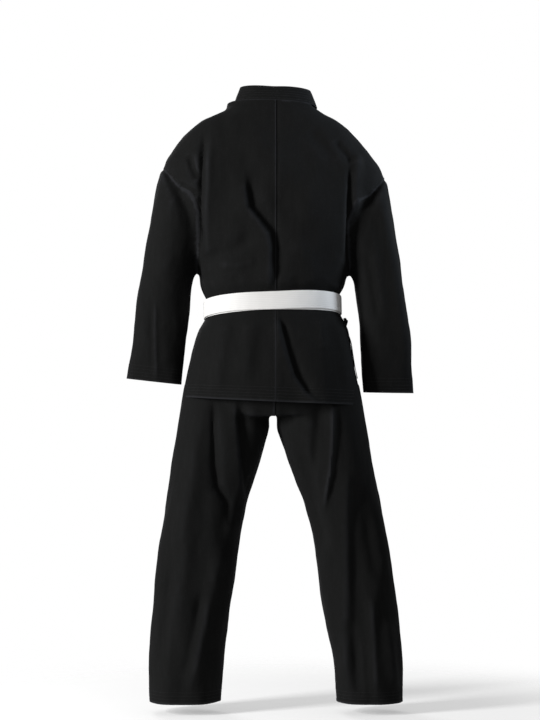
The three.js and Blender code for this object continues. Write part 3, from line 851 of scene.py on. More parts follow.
def jacket_skin():
    """The jacket's body and sleeves as one draped skin, open at its neck, waist and cuffs."""
    made = fused("jacket_skin", [closed(body_tube()), closed(sleeve_tube(1)), closed(sleeve_tube(-1))], 12)
    near_belt = height_on(BELT_MIDDLE, 0) + BELT_HALF
    places = places_of(made)
    reach = np.abs(places[:, 0])
    slope = smoothstep(0.09, 0.13, reach) * (1 - smoothstep(0.19, 0.26, reach))
    places[:, 2] -= SHOULDER_DROP * slope * smoothstep(0.36, 0.45, places[:, 2])
    place(made, places)

    def hold(places):
        high = 1 - smoothstep(0.47, 0.505, places[:, 2])
        arm = np.abs(places[:, 0]) > 0.19
        low = smoothstep(near_belt - 0.03, near_belt + 0.05, places[:, 2] - BELT_MIDDLE[2] * places[:, 1])
        return high * np.where(arm, 1, low)

    drape(made, JACKET_FOLDS, SOFT, hold)
    modify(made, "SMOOTH", factor=0.4, iterations=1)
    settle(made)
    a, b, c = NECK_LINE
    slice_off(made, (0, 0, a), (-b, -c, 1))
    a, b, c = BELT_MIDDLE
    slice_off(made, (0, 0, a), (b, c, -1), keep=lambda centre: abs(centre.x) < 0.2 and centre.z < 0.06)
    for side in (1, -1):
        _, cuff = sleeve_edges(side)
        plane = Plane(*cuff[slice(None, None, side)])
        down = plane.normal * (-1 if plane.normal[2] > 0 else 1)
        middle = plane.middle + down * -0.001
        slice_off(made, middle, down, keep=lambda p, s=side: p.x * s > 0.2 and p.z < -0.05)
    return made


def front_edge(side):
    """A front's edge, from its end at the neck to its end at the belt, as places."""
    name = "left_bodice" if side > 0 else "right_bodice"
    points = corners_of(name).reshape(-1, 3)
    front = points[points[:, 1] < 0]
    across = front[:, 0] * side
    top, bottom = front[:, 2] > front[:, 2].max() - 0.022, front[:, 2] < front[:, 2].min() + 0.012
    high, low = np.where(top, across, 9).argmin(), np.where(bottom, across, 9).argmin()
    return front[high], front[low]


LAYER = 7.5 * MM  # how much deeper the under front lies
LAP = 5 * MM  # how far the halves lap at a felled seam
SEAM_LAP = 12 * MM  # how far from the armhole seam the body's cloth begins to rise over the sleeve's


def tuck(made, seam_x, chosen):
    """Lays a right half's edge under the left half's, where they lap."""
    places = places_of(made)
    under = smoothstep(-2.6 * LAP, -1.3 * LAP, places[:, 0] - seam_x) * chosen(places)
    place(made, places - normals_of(made) * (under * 1.3 * CANVAS)[:, None])


def half_jacket(skin, side):
    """One half of the jacket: back, shoulder and front, with its sleeve still on."""
    name = "left" if side > 0 else "right"
    made = bpy.data.objects.new(f"{name}_half", skin.data.copy())
    bpy.context.scene.collection.objects.link(made)
    slice_off(made, (-side * LAP, 0, 0), (-side, 0, 0), keep=lambda c: c.y > 0)
    if side < 0:
        tuck(made, 0.0, lambda p: p[:, 1] > 0)
    high, low = front_edge(side)
    along = (high - low) * (1, 0, 1)
    out = np.array([-side * along[2], 0, side * along[0]])
    slice_off(made, high, out / np.linalg.norm(out), keep=lambda c: c.y <= 0)
    if side < 0:
        places = places_of(made)
        places[:, 1] += LAYER * smoothstep(0.01, 0.05, -places[:, 1]) * (places[:, 0] > -0.19)
        place(made, places)
    drop_loose(made)
    return made


def facing_patch(made, name, keep, inward, thick=1.0 * MM):
    """A second layer behind the part of a sheet that keep chooses."""
    patch = bpy.data.objects.new(name, made.data.copy())
    bpy.context.scene.collection.objects.link(patch)
    work = bmesh.new()
    work.from_mesh(patch.data)
    gone = [f for f in work.faces if not keep(f.calc_center_median())]
    bmesh.ops.delete(work, geom=gone, context="FACES")
    work.to_mesh(patch.data)
    work.free()
    drop_loose(patch)
    place(patch, places_of(patch) - normals_of(patch) * inward)
    thicken(patch, thick)
    return dress(patch, FACING, "black_cotton_facing")


# Stitching


def stitch_tree():
    """Lays short stitches at a spacing along the lines of a mesh."""
    tree = bpy.data.node_groups.new("stitched_line", "GeometryNodeTree")
    face = tree.interface
    face.new_socket("Line", in_out="INPUT", socket_type="NodeSocketGeometry")
    sizes = (("Spacing", 3.4 * MM), ("Length", 2.6 * MM), ("Thickness", 0.55 * MM))
    for name, value in sizes:
        face.new_socket(name, in_out="INPUT", socket_type="NodeSocketFloat").default_value = value
    face.new_socket("Thread", in_out="INPUT", socket_type="NodeSocketMaterial")
    face.new_socket("Stitches", in_out="OUTPUT", socket_type="NodeSocketGeometry")

    def node(kind, settings=(), **links):
        made = tree.nodes.new(kind)
        for key, value in dict(settings).items():
            setattr(made, key, value)
        for key, value in links.items():
            socket = made.inputs[key.replace("_", " ")]
            if isinstance(value, bpy.types.NodeSocket):
                tree.links.new(value, socket)
            else:
                socket.default_value = value
        return made

    given = node("NodeGroupInput").outputs
    curve = node("GeometryNodeMeshToCurve", Mesh=given["Line"]).outputs["Curve"]
    spaced = node("GeometryNodeResampleCurve", {"mode": "LENGTH"}, Curve=curve, Length=given["Spacing"])
    bead = node("GeometryNodeMeshUVSphere", Segments=6, Rings=4, Radius=0.5).outputs["Mesh"]
    size = node("ShaderNodeCombineXYZ", X=given["Length"], Y=given["Thickness"], Z=given["Thickness"])
    way = node("GeometryNodeInputTangent").outputs[0]
    turn = node("FunctionNodeAlignEulerToVector", {"axis": "X"}, Vector=way).outputs[0]
    laid = node(
        "GeometryNodeInstanceOnPoints",
        Points=spaced.outputs[0],
        Instance=bead,
        Rotation=turn,
        Scale=size.outputs[0],
    )
    real = node("GeometryNodeRealizeInstances", Geometry=laid.outputs[0]).outputs[0]
    finished = node("GeometryNodeSetMaterial", Geometry=real, Material=given["Thread"]).outputs[0]
    tree.links.new(finished, node("NodeGroupOutput").inputs[0])
    return tree


STITCHED_LINE = stitch_tree()


def stitches(name, lines, material, thickness=0.55 * MM, spacing=3.4 * MM):
    """Rows of stitches along lines of places, as one mesh."""
    places = np.concatenate(lines)
    edges, base = [], 0
    for line in lines:
        edges += [(base + i, base + i + 1) for i in range(len(line) - 1)]
        base += len(line)
    mesh = bpy.data.meshes.new(name)
    mesh.from_pydata([tuple(p) for p in places], edges, [])
    made = bpy.data.objects.new(name, mesh)
    bpy.context.scene.collection.objects.link(made)
    modifier = made.modifiers.new("stitches", "NODES")
    modifier.node_group = STITCHED_LINE
    given = {"Spacing": spacing, "Length": spacing * 0.76, "Thickness": thickness, "Thread": material}
    for item in STITCHED_LINE.interface.items_tree:
        if item.name in given:
            modifier[item.identifier] = given[item.name]
    return smoothed(settle(made))


def laid_on(made, points, way, lift=0.2 * MM):
    """The places where rays along way from points first meet a mesh, a little above it."""
    tree = BVHTree.FromObject(made, bpy.context.evaluated_depsgraph_get())
    way = Vector(way)
    found = []
    for point in points:
        hit, normal, _, _ = tree.ray_cast(Vector(point) - way * 0.6, way)
        if hit is not None:
            found.append(np.array(hit + normal * lift))
    return np.array(found)


def loop_round(made, plane, wanted, lift=0.2 * MM, count=200):
    """Where a plane meets a mesh's outer face, as a closed line by turn round the middle."""
    mesh = made.data
    mesh.calc_loop_triangles()
    places = places_of(made)
    corners = np.array([t.vertices[:] for t in mesh.loop_triangles])
    triangles = places[corners]
    chosen = triangles[wanted(triangles.mean(1))]
    cut = plane.cut(chosen)
    middle = (cut.max(0) + cut.min(0)) / 2
    off = cut - middle
    angle, reach = np.arctan2(off[:, 1], off[:, 0]) % math.tau, np.hypot(*off.T)
    bins = (angle / math.tau * count).astype(int) % count
    radius = np.full(count, np.nan)
    for b in range(count):
        if (bins == b).any():
            radius[b] = reach[bins == b].max()
    turns = (np.arange(count) + 0.5) / count * math.tau
    known = ~np.isnan(radius)
    radius = np.interp(turns, turns[known], radius[known], period=math.tau) + lift
    line = plane.at(middle[0] + radius * np.cos(turns), middle[1] + radius * np.sin(turns))
    return np.vstack([line, line[:1]])


# Finished pieces of the jacket


def path_along(line, z_low, z_high, count, inset, side):
    """Points beside an (x, z) line between two heights, for a row of stitching."""
    heights = np.linspace(z_low, z_high, count)
    x = np.interp(heights, line[:, 1], line[:, 0]) - side * inset
    return np.column_stack([x, np.zeros(count), heights])


def jacket():
    skin = jacket_skin()
    for side in (1, -1):
        name = "left" if side > 0 else "right"
        body = half_jacket(skin, side)
        line = armhole_seam(side)
        sleeve = split_by(body, lambda p, s=side: beyond_seam(p, s), line, f"{name}_sleeve_cloth")
        body.name = f"{name}_bodice_cloth"
        (top, pit), (_, inner) = sleeve_edges(side)
        rows = []
        for way in ((0, -1, 0), (0, 1, 0)):
            for inset in (4 * MM, 10 * MM):
                spots = path_along(line, pit[2] + 0.012, top[2] + 0.004, 70, inset, side)
                rows.append(laid_on(body, spots, way))
        seam = stitches(f"{name}_armhole_stitching", [r for r in rows if len(r) > 2], BLACK_THREAD)
        lap = CANVAS * near_line(places_of(body), line, SEAM_LAP)
        place(body, places_of(body) + normals_of(body) * lap[:, None])
        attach(seam, "torso")
        lining = facing_patch(
            body,
            f"{name}_shoulder_facing",
            lambda c, s=side: c.z > 0.36 and 0.01 < c.x * s < 0.262 and c.z < 0.498,
            inward=3.0 * MM,
        )
        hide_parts(f"{name}_shoulder_lining")
        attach(lining, "torso")
        gusset = facing_patch(
            body,
            f"{name}_gusset_facing",
            lambda c, s=side, p=pit: abs(c.y) * 0.9 + abs(c.z - p[2] + 0.04) < 0.034 and c.x * s > 0.12,
            inward=3.2 * MM,
        )
        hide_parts(f"{name}_underarm_gusset")
        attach(gusset, "torso")
        cuff_plane, down = cuff_of(side)

        def near_cuff(c, plane=cuff_plane, d=down, reach=0.045):
            return abs(np.dot(np.array(c) - plane.middle, d)) < reach

        hem = facing_patch(sleeve, f"{name}_cuff_facing", near_cuff, inward=2.4 * MM)
        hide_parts(f"{name}_cuff_hem")
        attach(hem, f"{name}_sleeve_piece")
        rows = []
        for k in range(5):
            plane = Plane(*(cuff_plane.left, cuff_plane.right))
            plane.middle = cuff_plane.middle - down * (4 + 8.5 * k) * MM
            rows.append(loop_round(sleeve, plane, lambda c, s=side: (c[:, 0] * s > 0.2) & (c[:, 2] < -0.05)))
        hem_rows = stitches(f"{name}_cuff_stitching", rows, BLACK_THREAD)
        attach(hem_rows, f"{name}_sleeve_piece")
        for piece, node in ((body, "bodice"), (sleeve, "sleeve")):
            thicken(piece, CANVAS)
            dress(piece, BLACK, "black_cotton_canvas")
            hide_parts(f"{name}_{node}")
        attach(body, "torso")
        seam_way = np.array([side * abs(top[2] - pit[2]), 0, -abs(top[0] - pit[0])])
        seam_way = seam_way / np.linalg.norm(seam_way)
        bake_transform(sleeve)
    bpy.data.objects.remove(skin)


def near_line(places, line, reach):
    spot = places[:, [0, 2]]
    best = np.full(len(spot), 9.0)
    for a, b in zip(line, line[1:]):
        t = np.clip((spot - a) @ (b - a) / np.dot(b - a, b - a), 0, 1)
        best = np.minimum(best, np.linalg.norm(spot - (a + np.outer(t, b - a)), axis=1))
    return 1 - smoothstep(0, reach, best)


def cuff_of(side):
    _, cuff = sleeve_edges(side)
    plane = Plane(*cuff[slice(None, None, side)])
    return plane, plane.normal * (-1 if plane.normal[2] > 0 else 1)


# Skirts: the jacket below the belt


def skirt_tube():
    """The jacket from its hem up to inside the belt."""
    triangles = corners_of(*SKIRT_NODES)
    points = triangles.reshape(-1, 3)
    hem = points[points[:, 0].argmax()], points[points[:, 0].argmin()]
    reach = np.abs(corners_of("belt_outer_wrap")[..., 0]).max() - 0.006
    top = [np.array([x, 0, height_on(BELT_MIDDLE, x) - BELT_HALF]) for x in (reach, -reach)]
    hem = [h * (1, 0, 1) for h in hem]
    planes = [between(hem, top, s, (0.0, BELT_MIDDLE[2])) for s in np.linspace(0.004, 0.93, 16)]
    tube = Tube(planes, triangles)
    waist = Plane(top[0] + Z * 0.012, top[1] + Z * 0.012, BELT_MIDDLE[2])
    return tube.grown(last=[Tube([waist], corners_of(*BODY_NODES)).rings[0]])


def flutes(turn, share, seed, amount):
    """Soft upright folds that grow towards the hem."""
    rng = np.random.default_rng(seed)
    out = np.zeros(np.shape(turn))
    for _ in range(5):
        count, phase, size = rng.uniform(3, 11), rng.uniform(0, math.tau), rng.uniform(0.4, 1)
        out += size * np.sin(turn * count + phase + share * rng.uniform(-1.5, 1.5))
    return out * amount * (1 - share) ** 1.2 / 2


SKIRT_FOLDS = [
    Fold(
        [(-8, 6), (-20, -62), (-34, -114), (-52, -164), (-80, -206), (-118, -240)],
        -3, 24, step=-6, crisp=4,
    ),
    Fold([(-120, -10), (-116, -60), (-122, -110)], 3, 20),
    Fold([(120, -12), (128, -70), (140, -140), (146, -222)], 4, 30, step=2),
    Fold([(60, -20), (64, -90), (70, -180)], 3, 28),
    Fold([(-165, -20), (-176, -90), (-186, -200)], 4, 22, step=-3),
    Fold([(60, -60), (20, -130), (-40, -220)], 5, 26, step=3, side=-1),
    Fold([(-80, -60), (-96, -140), (-110, -220)], 4, 24, side=-1),
    Fold([(130, -60), (140, -140), (150, -220)], 4, 26, side=-1),
]


def skirt(tube, name, start, end, depth, seed, body, flat, columns):
    """One skirt panel between two turns, given as functions of the share up it."""
    shares = np.linspace(0, 1, 60)
    t = np.linspace(0, 1, columns + 1)
    turns = start(shares)[:, None] * (1 - t) + end(shares)[:, None] * t
    places = tube.at(shares[:, None], turns)
    normals = grid_normals(places)
    spots, ways = places.reshape(-1, 3), normals.reshape(-1, 3)
    out = sum(f.shape(spots, ways) for f in SKIRT_FOLDS)
    out = out + uneven(spots, np.array((60, 60, 120)) * MM, 3.5 * MM, 11)
    out = out + uneven(spots, np.array((16, 16, 26)) * MM, 0.6 * MM, 12)
    out = out.reshape(turns.shape) + flutes(turns, shares[:, None], seed, 3.0 * MM)
    out = out * smoothstep(1.0, 0.8, shares)[:, None] - depth(turns)
    places = places + normals * out[..., None]
    made = mesh_object(f"{name}_cloth", places.reshape(-1, 3), grid_faces(len(shares) - 1, columns))
    hem = mesh_object(f"{name}_facing", (places - grid_normals(places) * 2.2 * MM)[:12].reshape(-1, 3),
                      grid_faces(11, columns))
    normals = grid_normals(places)
    lines = [(places + normals * 0.25 * MM)[k, 2:-2] for k in (1, 3, 5, 7, 9)]
    lines += [(places + normals * 0.25 * MM)[1:-2, k] for k in (2, columns - 2)]
    rows = stitches(f"{name}_stitching", lines, BLACK_THREAD)
    thicken(made, CANVAS)
    thicken(hem, 1.0 * MM)
    dress(made, BLACK, "black_cotton_canvas")
    dress(hem, FACING, "black_cotton_facing")
    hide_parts(name)
    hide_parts(f"{name}_hem")
    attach(rows, body)
    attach(hem, body)
    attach(made, body)
    return places


def skirts():
    tube = skirt_tube()
    vent = math.radians(1)

    def fixed(turn):
        return lambda shares: np.full(len(shares), turn)

    def level_with(turns):
        return 0 * turns

    def tucked(turns):
        return 1.3 * CANVAS * (1 - smoothstep(math.pi / 2 + lap, math.pi / 2 + 3 * lap, turns))

    def under(turns):
        return LAYER * smoothstep(math.pi + 0.05, math.pi + 0.4, turns)

    def back_centre(shares):
        """The turn on the back where x is 0."""
        low, high = np.zeros(len(shares)), np.full(len(shares), math.pi)
        for _ in range(30):
            turn = (low + high) / 2
            right_of = tube.at(shares, turn)[..., 0] > 0
            low, high = np.where(right_of, turn, low), np.where(right_of, high, turn)
        return turn

    lap = 0.035  # the turn by which each half of the back passes its middle
    outer_x = edge_line("left_lapel_skirt", max)
    under_x = edge_line("right_lapel_skirt", min)

    def outer_edge(shares):
        return tube.front_turn(shares, outer_x(shares) - 6 * MM)

    def under_edge(shares):
        return tube.front_turn(shares, under_x(shares) + 6 * MM)

    back, front = (0.25, 0.235), (0.38, 0.235)
    panels = (
        ("back_skirt_left", fixed(vent), lambda s: back_centre(s) + lap, level_with, 4, back, 90),
        ("back_skirt_right", lambda s: back_centre(s) - lap, fixed(math.pi - vent), tucked, 4, back, 90),
        ("front_skirt_outer", outer_edge, fixed(math.tau - vent), level_with, 9, front, 130),
        ("front_skirt_under", fixed(math.pi + vent), under_edge, under, 9, front, 130),
    )
    for name, start, end, depth, seed, flat, columns in panels:
        body = "back_skirt_piece" if name.startswith("back") else f"{name}_piece"
        skirt(tube, name, start, end, depth, seed, body, flat, columns)
    return tube


def edge_line(name, pick):
    """A lapel's seam below the belt: its x by share up the skirt."""
    points = corners_of(name).reshape(-1, 3)
    low, high = points[:, 2] < points[:, 2].min() + 0.01, points[:, 2] > points[:, 2].max() - 0.012
    ends = pick(points[low][:, 0]), pick(points[high][:, 0])
    return lambda shares: ends[0] + (ends[1] - ends[0]) * shares


# Bands: collar and lapels, a folded strip with rows of stitching along it


def band(name, places, body, node, slot="black_cotton_canvas"):
    """A padded band from a grid: rows run across its width, columns along its length."""
    rows = places.shape[0] - 1
    v = np.linspace(-1, 1, rows + 1)
    channels = 0.5 * MM * np.exp(-((np.abs((v * 3.0) % 1 - 0.5) - 0.5) / 0.1) ** 2)
    crown = 0.9 * MM * (1 - np.abs(v) ** 8) - channels
    normals = grid_normals(places)
    outer = places + normals * crown[:, None, None]
    made = mesh_object(name, outer.reshape(-1, 3), grid_faces(rows, places.shape[1] - 1))
    rows_at = [np.abs(v - k).argmin() for k in (-0.9, -0.667, -0.333, 0.0, 0.333, 0.667, 0.9)]
    lines = [(outer + normals * 0.25 * MM)[k, 1:-1] for k in rows_at]
    rows_of_thread = stitches(f"{name}_stitching", lines, BLACK_THREAD)
    thicken(made, BAND - 0.9 * MM)
    modify(made, "BEVEL", width=0.9 * MM, segments=2, limit_method="ANGLE", angle_limit=math.radians(60))
    rim_shaded(settle(made))
    dress(made, BLACK, slot)
    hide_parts(node)
    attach(rows_of_thread, body)
    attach(made, body)
    return made


def collar():
    points = corners_of("collar_band")
    flat = points.reshape(-1, 3)
    a, b, c = NECK_LINE
    above = flat[:, 2] - (a + b * flat[:, 0] + c * flat[:, 1])
    a2, b2, c2 = plane_through(flat[above > above.max() - 0.012])
    planes, spans = [], []
    for t in np.linspace(0.03, 0.97, 9):
        plane = level(a * (1 - t) + a2 * t, c * (1 - t) + c2 * t, b * (1 - t) + b2 * t)
        planes.append(plane)
        turns, radius, middle = outline(plane, points)
        spans.append(span(plane, points, middle))
    tube = Tube(planes, points)
    rows, columns = 26, 180
    share = np.linspace(0, 1, rows + 1)
    known = np.linspace(0, 1, len(spans))
    start = np.interp(share, known, [s[0] if s[0] < math.pi else s[0] - math.tau for s in spans])
    end = np.interp(share, known, [s[1] if s[0] < math.pi else s[1] - math.tau for s in spans])
    t = np.linspace(0, 1, columns + 1)
    turns = start[:, None] * (1 - t) + end[:, None] * t
    places = tube.at(share[:, None], turns % math.tau)
    sunk = 3 * MM * (1 - share[:, None, None])  # its foot lies inside the neckline
    places = places - Z * sunk + grid_normals(places) * 0.8 * MM
    lean = 2.0 * MM * np.sin(turns * 3 + 0.6) * share[:, None] ** 2
    places = places + grid_normals(places) * lean[..., None]
    band("collar", places, "torso", "collar_band")


def lapel(name, side, tube, heights, body, node, depth, edge):
    """A lapel band beside a front's edge; edge gives the seam's x by height."""
    rows, columns = 26, 170
    z = np.linspace(*heights, columns + 1)
    out = np.linspace(0.005, -0.05, 45)
    fine = np.array([tube(edge(z) + side * across, z) for across in out])
    run = np.cumsum(np.linalg.norm(np.diff(fine, axis=0, prepend=fine[:1]), axis=2), axis=0)
    wanted = np.linspace(0, 0.0475, rows + 1)
    places = np.zeros((rows + 1, columns + 1, 3))
    for j in range(columns + 1):
        for k in range(3):
            places[:, j, k] = np.interp(wanted, run[:, j], fine[:, j, k])
    if side > 0:
        places = places[::-1]
    normals = grid_normals(places)
    flip = np.sign(-normals[..., 1].mean())
    places = places + normals * flip * (2.6 * MM - depth)
    if flip < 0:
        places = places[::-1]
    band(name, places, body, node)


def on_front(tube, share_of):
    """The place on a tube's front at an x and a height, by searching the share that has it."""

    def at(x, z):
        share = share_of(z)
        for _ in range(6):
            turn = tube.front_turn(share, x)
            here = tube.at(share, turn)
            up = tube.at(np.clip(share + 0.01, 0, 1), turn)
            rise = np.maximum((up[..., 2] - here[..., 2]) / 0.01, 0.05)
            share = np.clip(share + (z - here[..., 2]) / rise, 0, 1)
        return tube.at(share, tube.front_turn(share, x))

    return at


def lapels(skirt_skin):
    trunk = body_tube()
    low_z, high_z = trunk.rings[0][:, 2].mean(), trunk.rings[-1][:, 2].mean()

    def share_of(z):
        return (z - low_z) / (high_z - low_z)

    for side, name in ((1, "left"), (-1, "right")):
        high, low = front_edge(side)
        edge = lambda z, a=low, b=high: a[0] + (b[0] - a[0]) * (z - a[2]) / (b[2] - a[2])
        depth = 0.0 if side > 0 else LAYER
        top = height_on(NECK_LINE, high[0], high[1]) + 0.002
        bottom = height_on(BELT_MIDDLE, low[0], low[1]) - 0.006
        upper = on_front(trunk, share_of)
        lapel(f"{name}_lapel_band", side, upper, (bottom, top), "torso", f"{name}_lapel", depth, edge)
        points = corners_of(f"{name}_lapel_skirt").reshape(-1, 3)
        seam = points[:, 0] * side
        ends = []
        for z, reach in ((points[:, 2].min(), 0.014), (points[:, 2].max(), 0.014)):
            chosen = np.abs(points[:, 2] - z) < reach
            ends.append((seam[chosen].max() * side, z))
        (x0, z0), (x1, z1) = ends
        skirt_edge = lambda z, x0=x0, z0=z0, x1=x1, z1=z1: x0 + (x1 - x0) * (z - z0) / (z1 - z0)
        h0, h1 = skirt_skin.rings[0][:, 2].mean(), skirt_skin.rings[-1][:, 2].mean()
        body = "front_skirt_outer_piece" if side > 0 else "front_skirt_under_piece"
        lapel(f"{name}_lapel_band_skirt", side, on_front(skirt_skin, lambda z, a=h0, b=h1: (z - a) / (b - a)),
              (z0 + 0.001, z1 + 0.004), body, f"{name}_lapel_skirt", depth, skirt_edge)


# Belt


def smooth_path(points, count):
    """A Catmull-Rom curve through points, as count places."""
    p = np.array(points, float)
    p = np.vstack([2 * p[0] - p[1], p, 2 * p[-1] - p[-2]])
    t = np.linspace(0, len(points) - 1 - 1e-9, count)
    i = t.astype(int)
    f = (t - i)[:, None]
    a, b, c, d = p[i], p[i + 1], p[i + 2], p[i + 3]
    return 0.5 * (2 * b + (c - a) * f + (2 * a - 5 * b + 4 * c - d) * f**2 + (3 * b - a - 3 * c + d) * f**3)


def strap_object(name, places, thick, channels=True, material=None):
    """A flat strap from a grid whose rows run along it, with sewn channels and soft edges."""
    rows = places.shape[0] - 1
    v = np.linspace(-1, 1, rows + 1)
    out = 0.35 * MM * (1 - np.abs(v) ** 10)
    if channels:
        out = out - 0.3 * MM * np.exp(-((np.abs((v * 5.0) % 1 - 0.5) - 0.5) / 0.12) ** 2)
    normals = grid_normals(places)
    made = mesh_object(name, (places + normals * out[:, None, None]).reshape(-1, 3),
                       grid_faces(rows, places.shape[1] - 1))
    lay_uv(made, places)
    modify(made, "SOLIDIFY", thickness=thick, offset=-1, use_even_offset=False)
    modify(made, "BEVEL", width=0.3 * thick, segments=2, limit_method="ANGLE", angle_limit=math.radians(60))
    return rim_shaded(settle(made))


def belt_wrap(name, node, out, shift, seed):
    """One turn of the belt round the waist, its ends under the knot."""
    triangles = corners_of("belt_outer_wrap")
    a, b, c = BELT_MIDDLE
    heights = np.linspace(-BELT_HALF * 0.9, BELT_HALF * 0.9, 5)
    tube = Tube([level(a + h, c, b) for h in heights], triangles, 180)
    middle = tube.rings.mean(0)
    rows, columns = 40, 420
    turns = np.linspace(-math.pi / 2 + 0.04, 1.5 * math.pi - 0.04, columns + 1)
    v = np.linspace(-1, 1, rows + 1)
    ring = Tube.__new__(Tube)
    ring.rings = np.array([middle, middle])
    base = ring.at(np.zeros(len(turns)), turns % math.tau)
    wander = shift + 1.1 * MM * np.sin(turns * 1.7 + seed) + 0.6 * MM * np.sin(turns * 4.1 + seed * 2)
    pinch = 1 - 0.03 * (1 + np.sin(turns * 2.3 + seed * 3)) / 2
    places = base[None] + Z * (v[:, None] * BELT_HALF * pinch + wander)[..., None]
    normals = grid_normals(places)
    roll = 0.5 * MM * np.sin(turns * 5 + seed)[None] * v[:, None]
    places = places + normals * (out + roll)[..., None]
    made = strap_object(name, places, WEBBING)
    dress(made, WHITE, "white_belt_cotton")
    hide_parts(node)
    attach(made, "torso")


def strap(name, path, across, width, thick, rows=40, count=90, channels=True):
    """A strap along a path of places, with its width along a direction for each of them."""
    centre, way = smooth_path(path, count), smooth_path(across, count)
    way /= np.linalg.norm(way, axis=1, keepdims=True)
    half = np.interp(np.linspace(0, 1, count), np.linspace(0, 1, len(width)), width) / 2
    v = np.linspace(-1, 1, rows + 1)
    places = centre[None] + way[None] * (v[:, None] * half[None])[..., None]
    return strap_object(name, places, thick, channels)


def joined_objects(made, others):
    """Puts other meshes into one object, each a closed shell of its own."""
    work = bmesh.new()
    for each in (made, *others):
        work.from_mesh(each.data)
    work.to_mesh(made.data)
    work.free()
    for each in others:
        bpy.data.objects.remove(each)
    return made


def belt():
    belt_wrap("belt_inner_turn", "belt_inner_wrap", -4.4 * MM, -1.6 * MM, 1.0)
    belt_wrap("belt_outer_turn", "belt_outer_wrap", -0.4 * MM, 0.9 * MM, 2.2)
    low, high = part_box("belt_knot")
    middle = np.array((low + high) / 2)
    half = np.array(high - low) / 2
    front, back = low.y, high.y

    def at(x, y, z):
        """A place in the knot, from -1 to 1 across, from 0 at the wraps to 1 at its face, and up."""
        return (middle[0] + x * half[0], back + (front - back) * y, middle[2] + z * half[2])

    core = strap(
        "knot_core",
        [
            at(0.1, 0.02, 1.0), at(0.06, 0.36, 1.02), at(0.0, 0.66, 0.6),
            at(-0.04, 0.72, -0.1), at(-0.1, 0.5, -0.9), at(-0.12, 0.12, -1.0),
        ],
        [(1, 0, 0.05)] * 6,
        [0.040, 0.037, 0.035, 0.036, 0.041],
        WEBBING,
    )
    cross = strap(
        "knot_cross",
        [
            at(0.92, 0.05, -0.12), at(0.98, 0.42, 0.1), at(0.62, 0.84, 0.26), at(0.0, 0.97, 0.0),
            at(-0.62, 0.84, -0.3), at(-0.98, 0.4, -0.2), at(-0.9, 0.05, 0.05),
        ],
        [(slant, 0, -1) for slant in (0.1, 0.25, 0.4, 0.42, 0.4, 0.2, 0.1)],
        [0.036, 0.034, 0.031, 0.030, 0.031, 0.034, 0.036],
        WEBBING,
    )
    under = strap(
        "knot_under",
        [
            at(-0.8, 0.1, 0.55), at(-0.86, 0.4, 0.5), at(-0.4, 0.56, 0.2),
            at(0.3, 0.56, -0.3), at(0.84, 0.4, -0.56), at(0.8, 0.1, -0.6),
        ],
        [(0.5, 0, 1)] * 6,
        [0.032, 0.03, 0.029, 0.03, 0.032],
        WEBBING,
    )
    knot = joined_objects(core, [cross, under])
    knot.name = "belt_knot_straps"
    dress(knot, WHITE, "white_belt_cotton")
    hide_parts("belt_knot")
    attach(knot, "torso")
    for side, name in ((1, "left"), (-1, "right")):
        belt_end(side, name, middle)


def belt_end(side, name, knot):
    low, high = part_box(f"belt_tail_{name}")
    y, drop = (low.y + high.y) / 2, low.z
    points = corners_of(f"belt_tail_{name}").reshape(-1, 3)
    foot = points[points[:, 2] < drop + 0.012][:, 0]
    head = points[points[:, 2] > high.z - 0.012][:, 0]
    x0, x1 = (head.min() + head.max()) / 2, (foot.min() + foot.max()) / 2
    tilt = (x1 - x0) / (high.z - drop)
    path, across = [], []
    hang = ((0, 0, 0), (0.18, 0.002, 0.1), (0.42, 0.004, 0.22), (0.7, 0.001, -0.06), (1, -0.003, 0.12))
    for t, sway, turn in hang:
        z = high.z + 0.004 + (drop - high.z - 0.004) * t
        path.append((x0 + (x1 - x0) * t + side * sway, y - 0.001 - 0.003 * math.sin(t * 5), z))
        across.append((1, turn * side * 0.8, tilt))
    start = (x0 - side * 0.012, knot[1] + 0.002, knot[2] - 0.006)
    path.insert(0, start)
    across.insert(0, (1, 0, tilt))
    widths = [0.034, 0.041, 0.045, 0.045, 0.045, 0.045]
    made = strap(f"belt_end_{name}", path, across, widths, WEBBING, count=150)
    dress(made, WHITE, "white_belt_cotton")
    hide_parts(f"belt_tail_{name}")
    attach(made, f"belt_tail_{name}_piece")


# Side ties


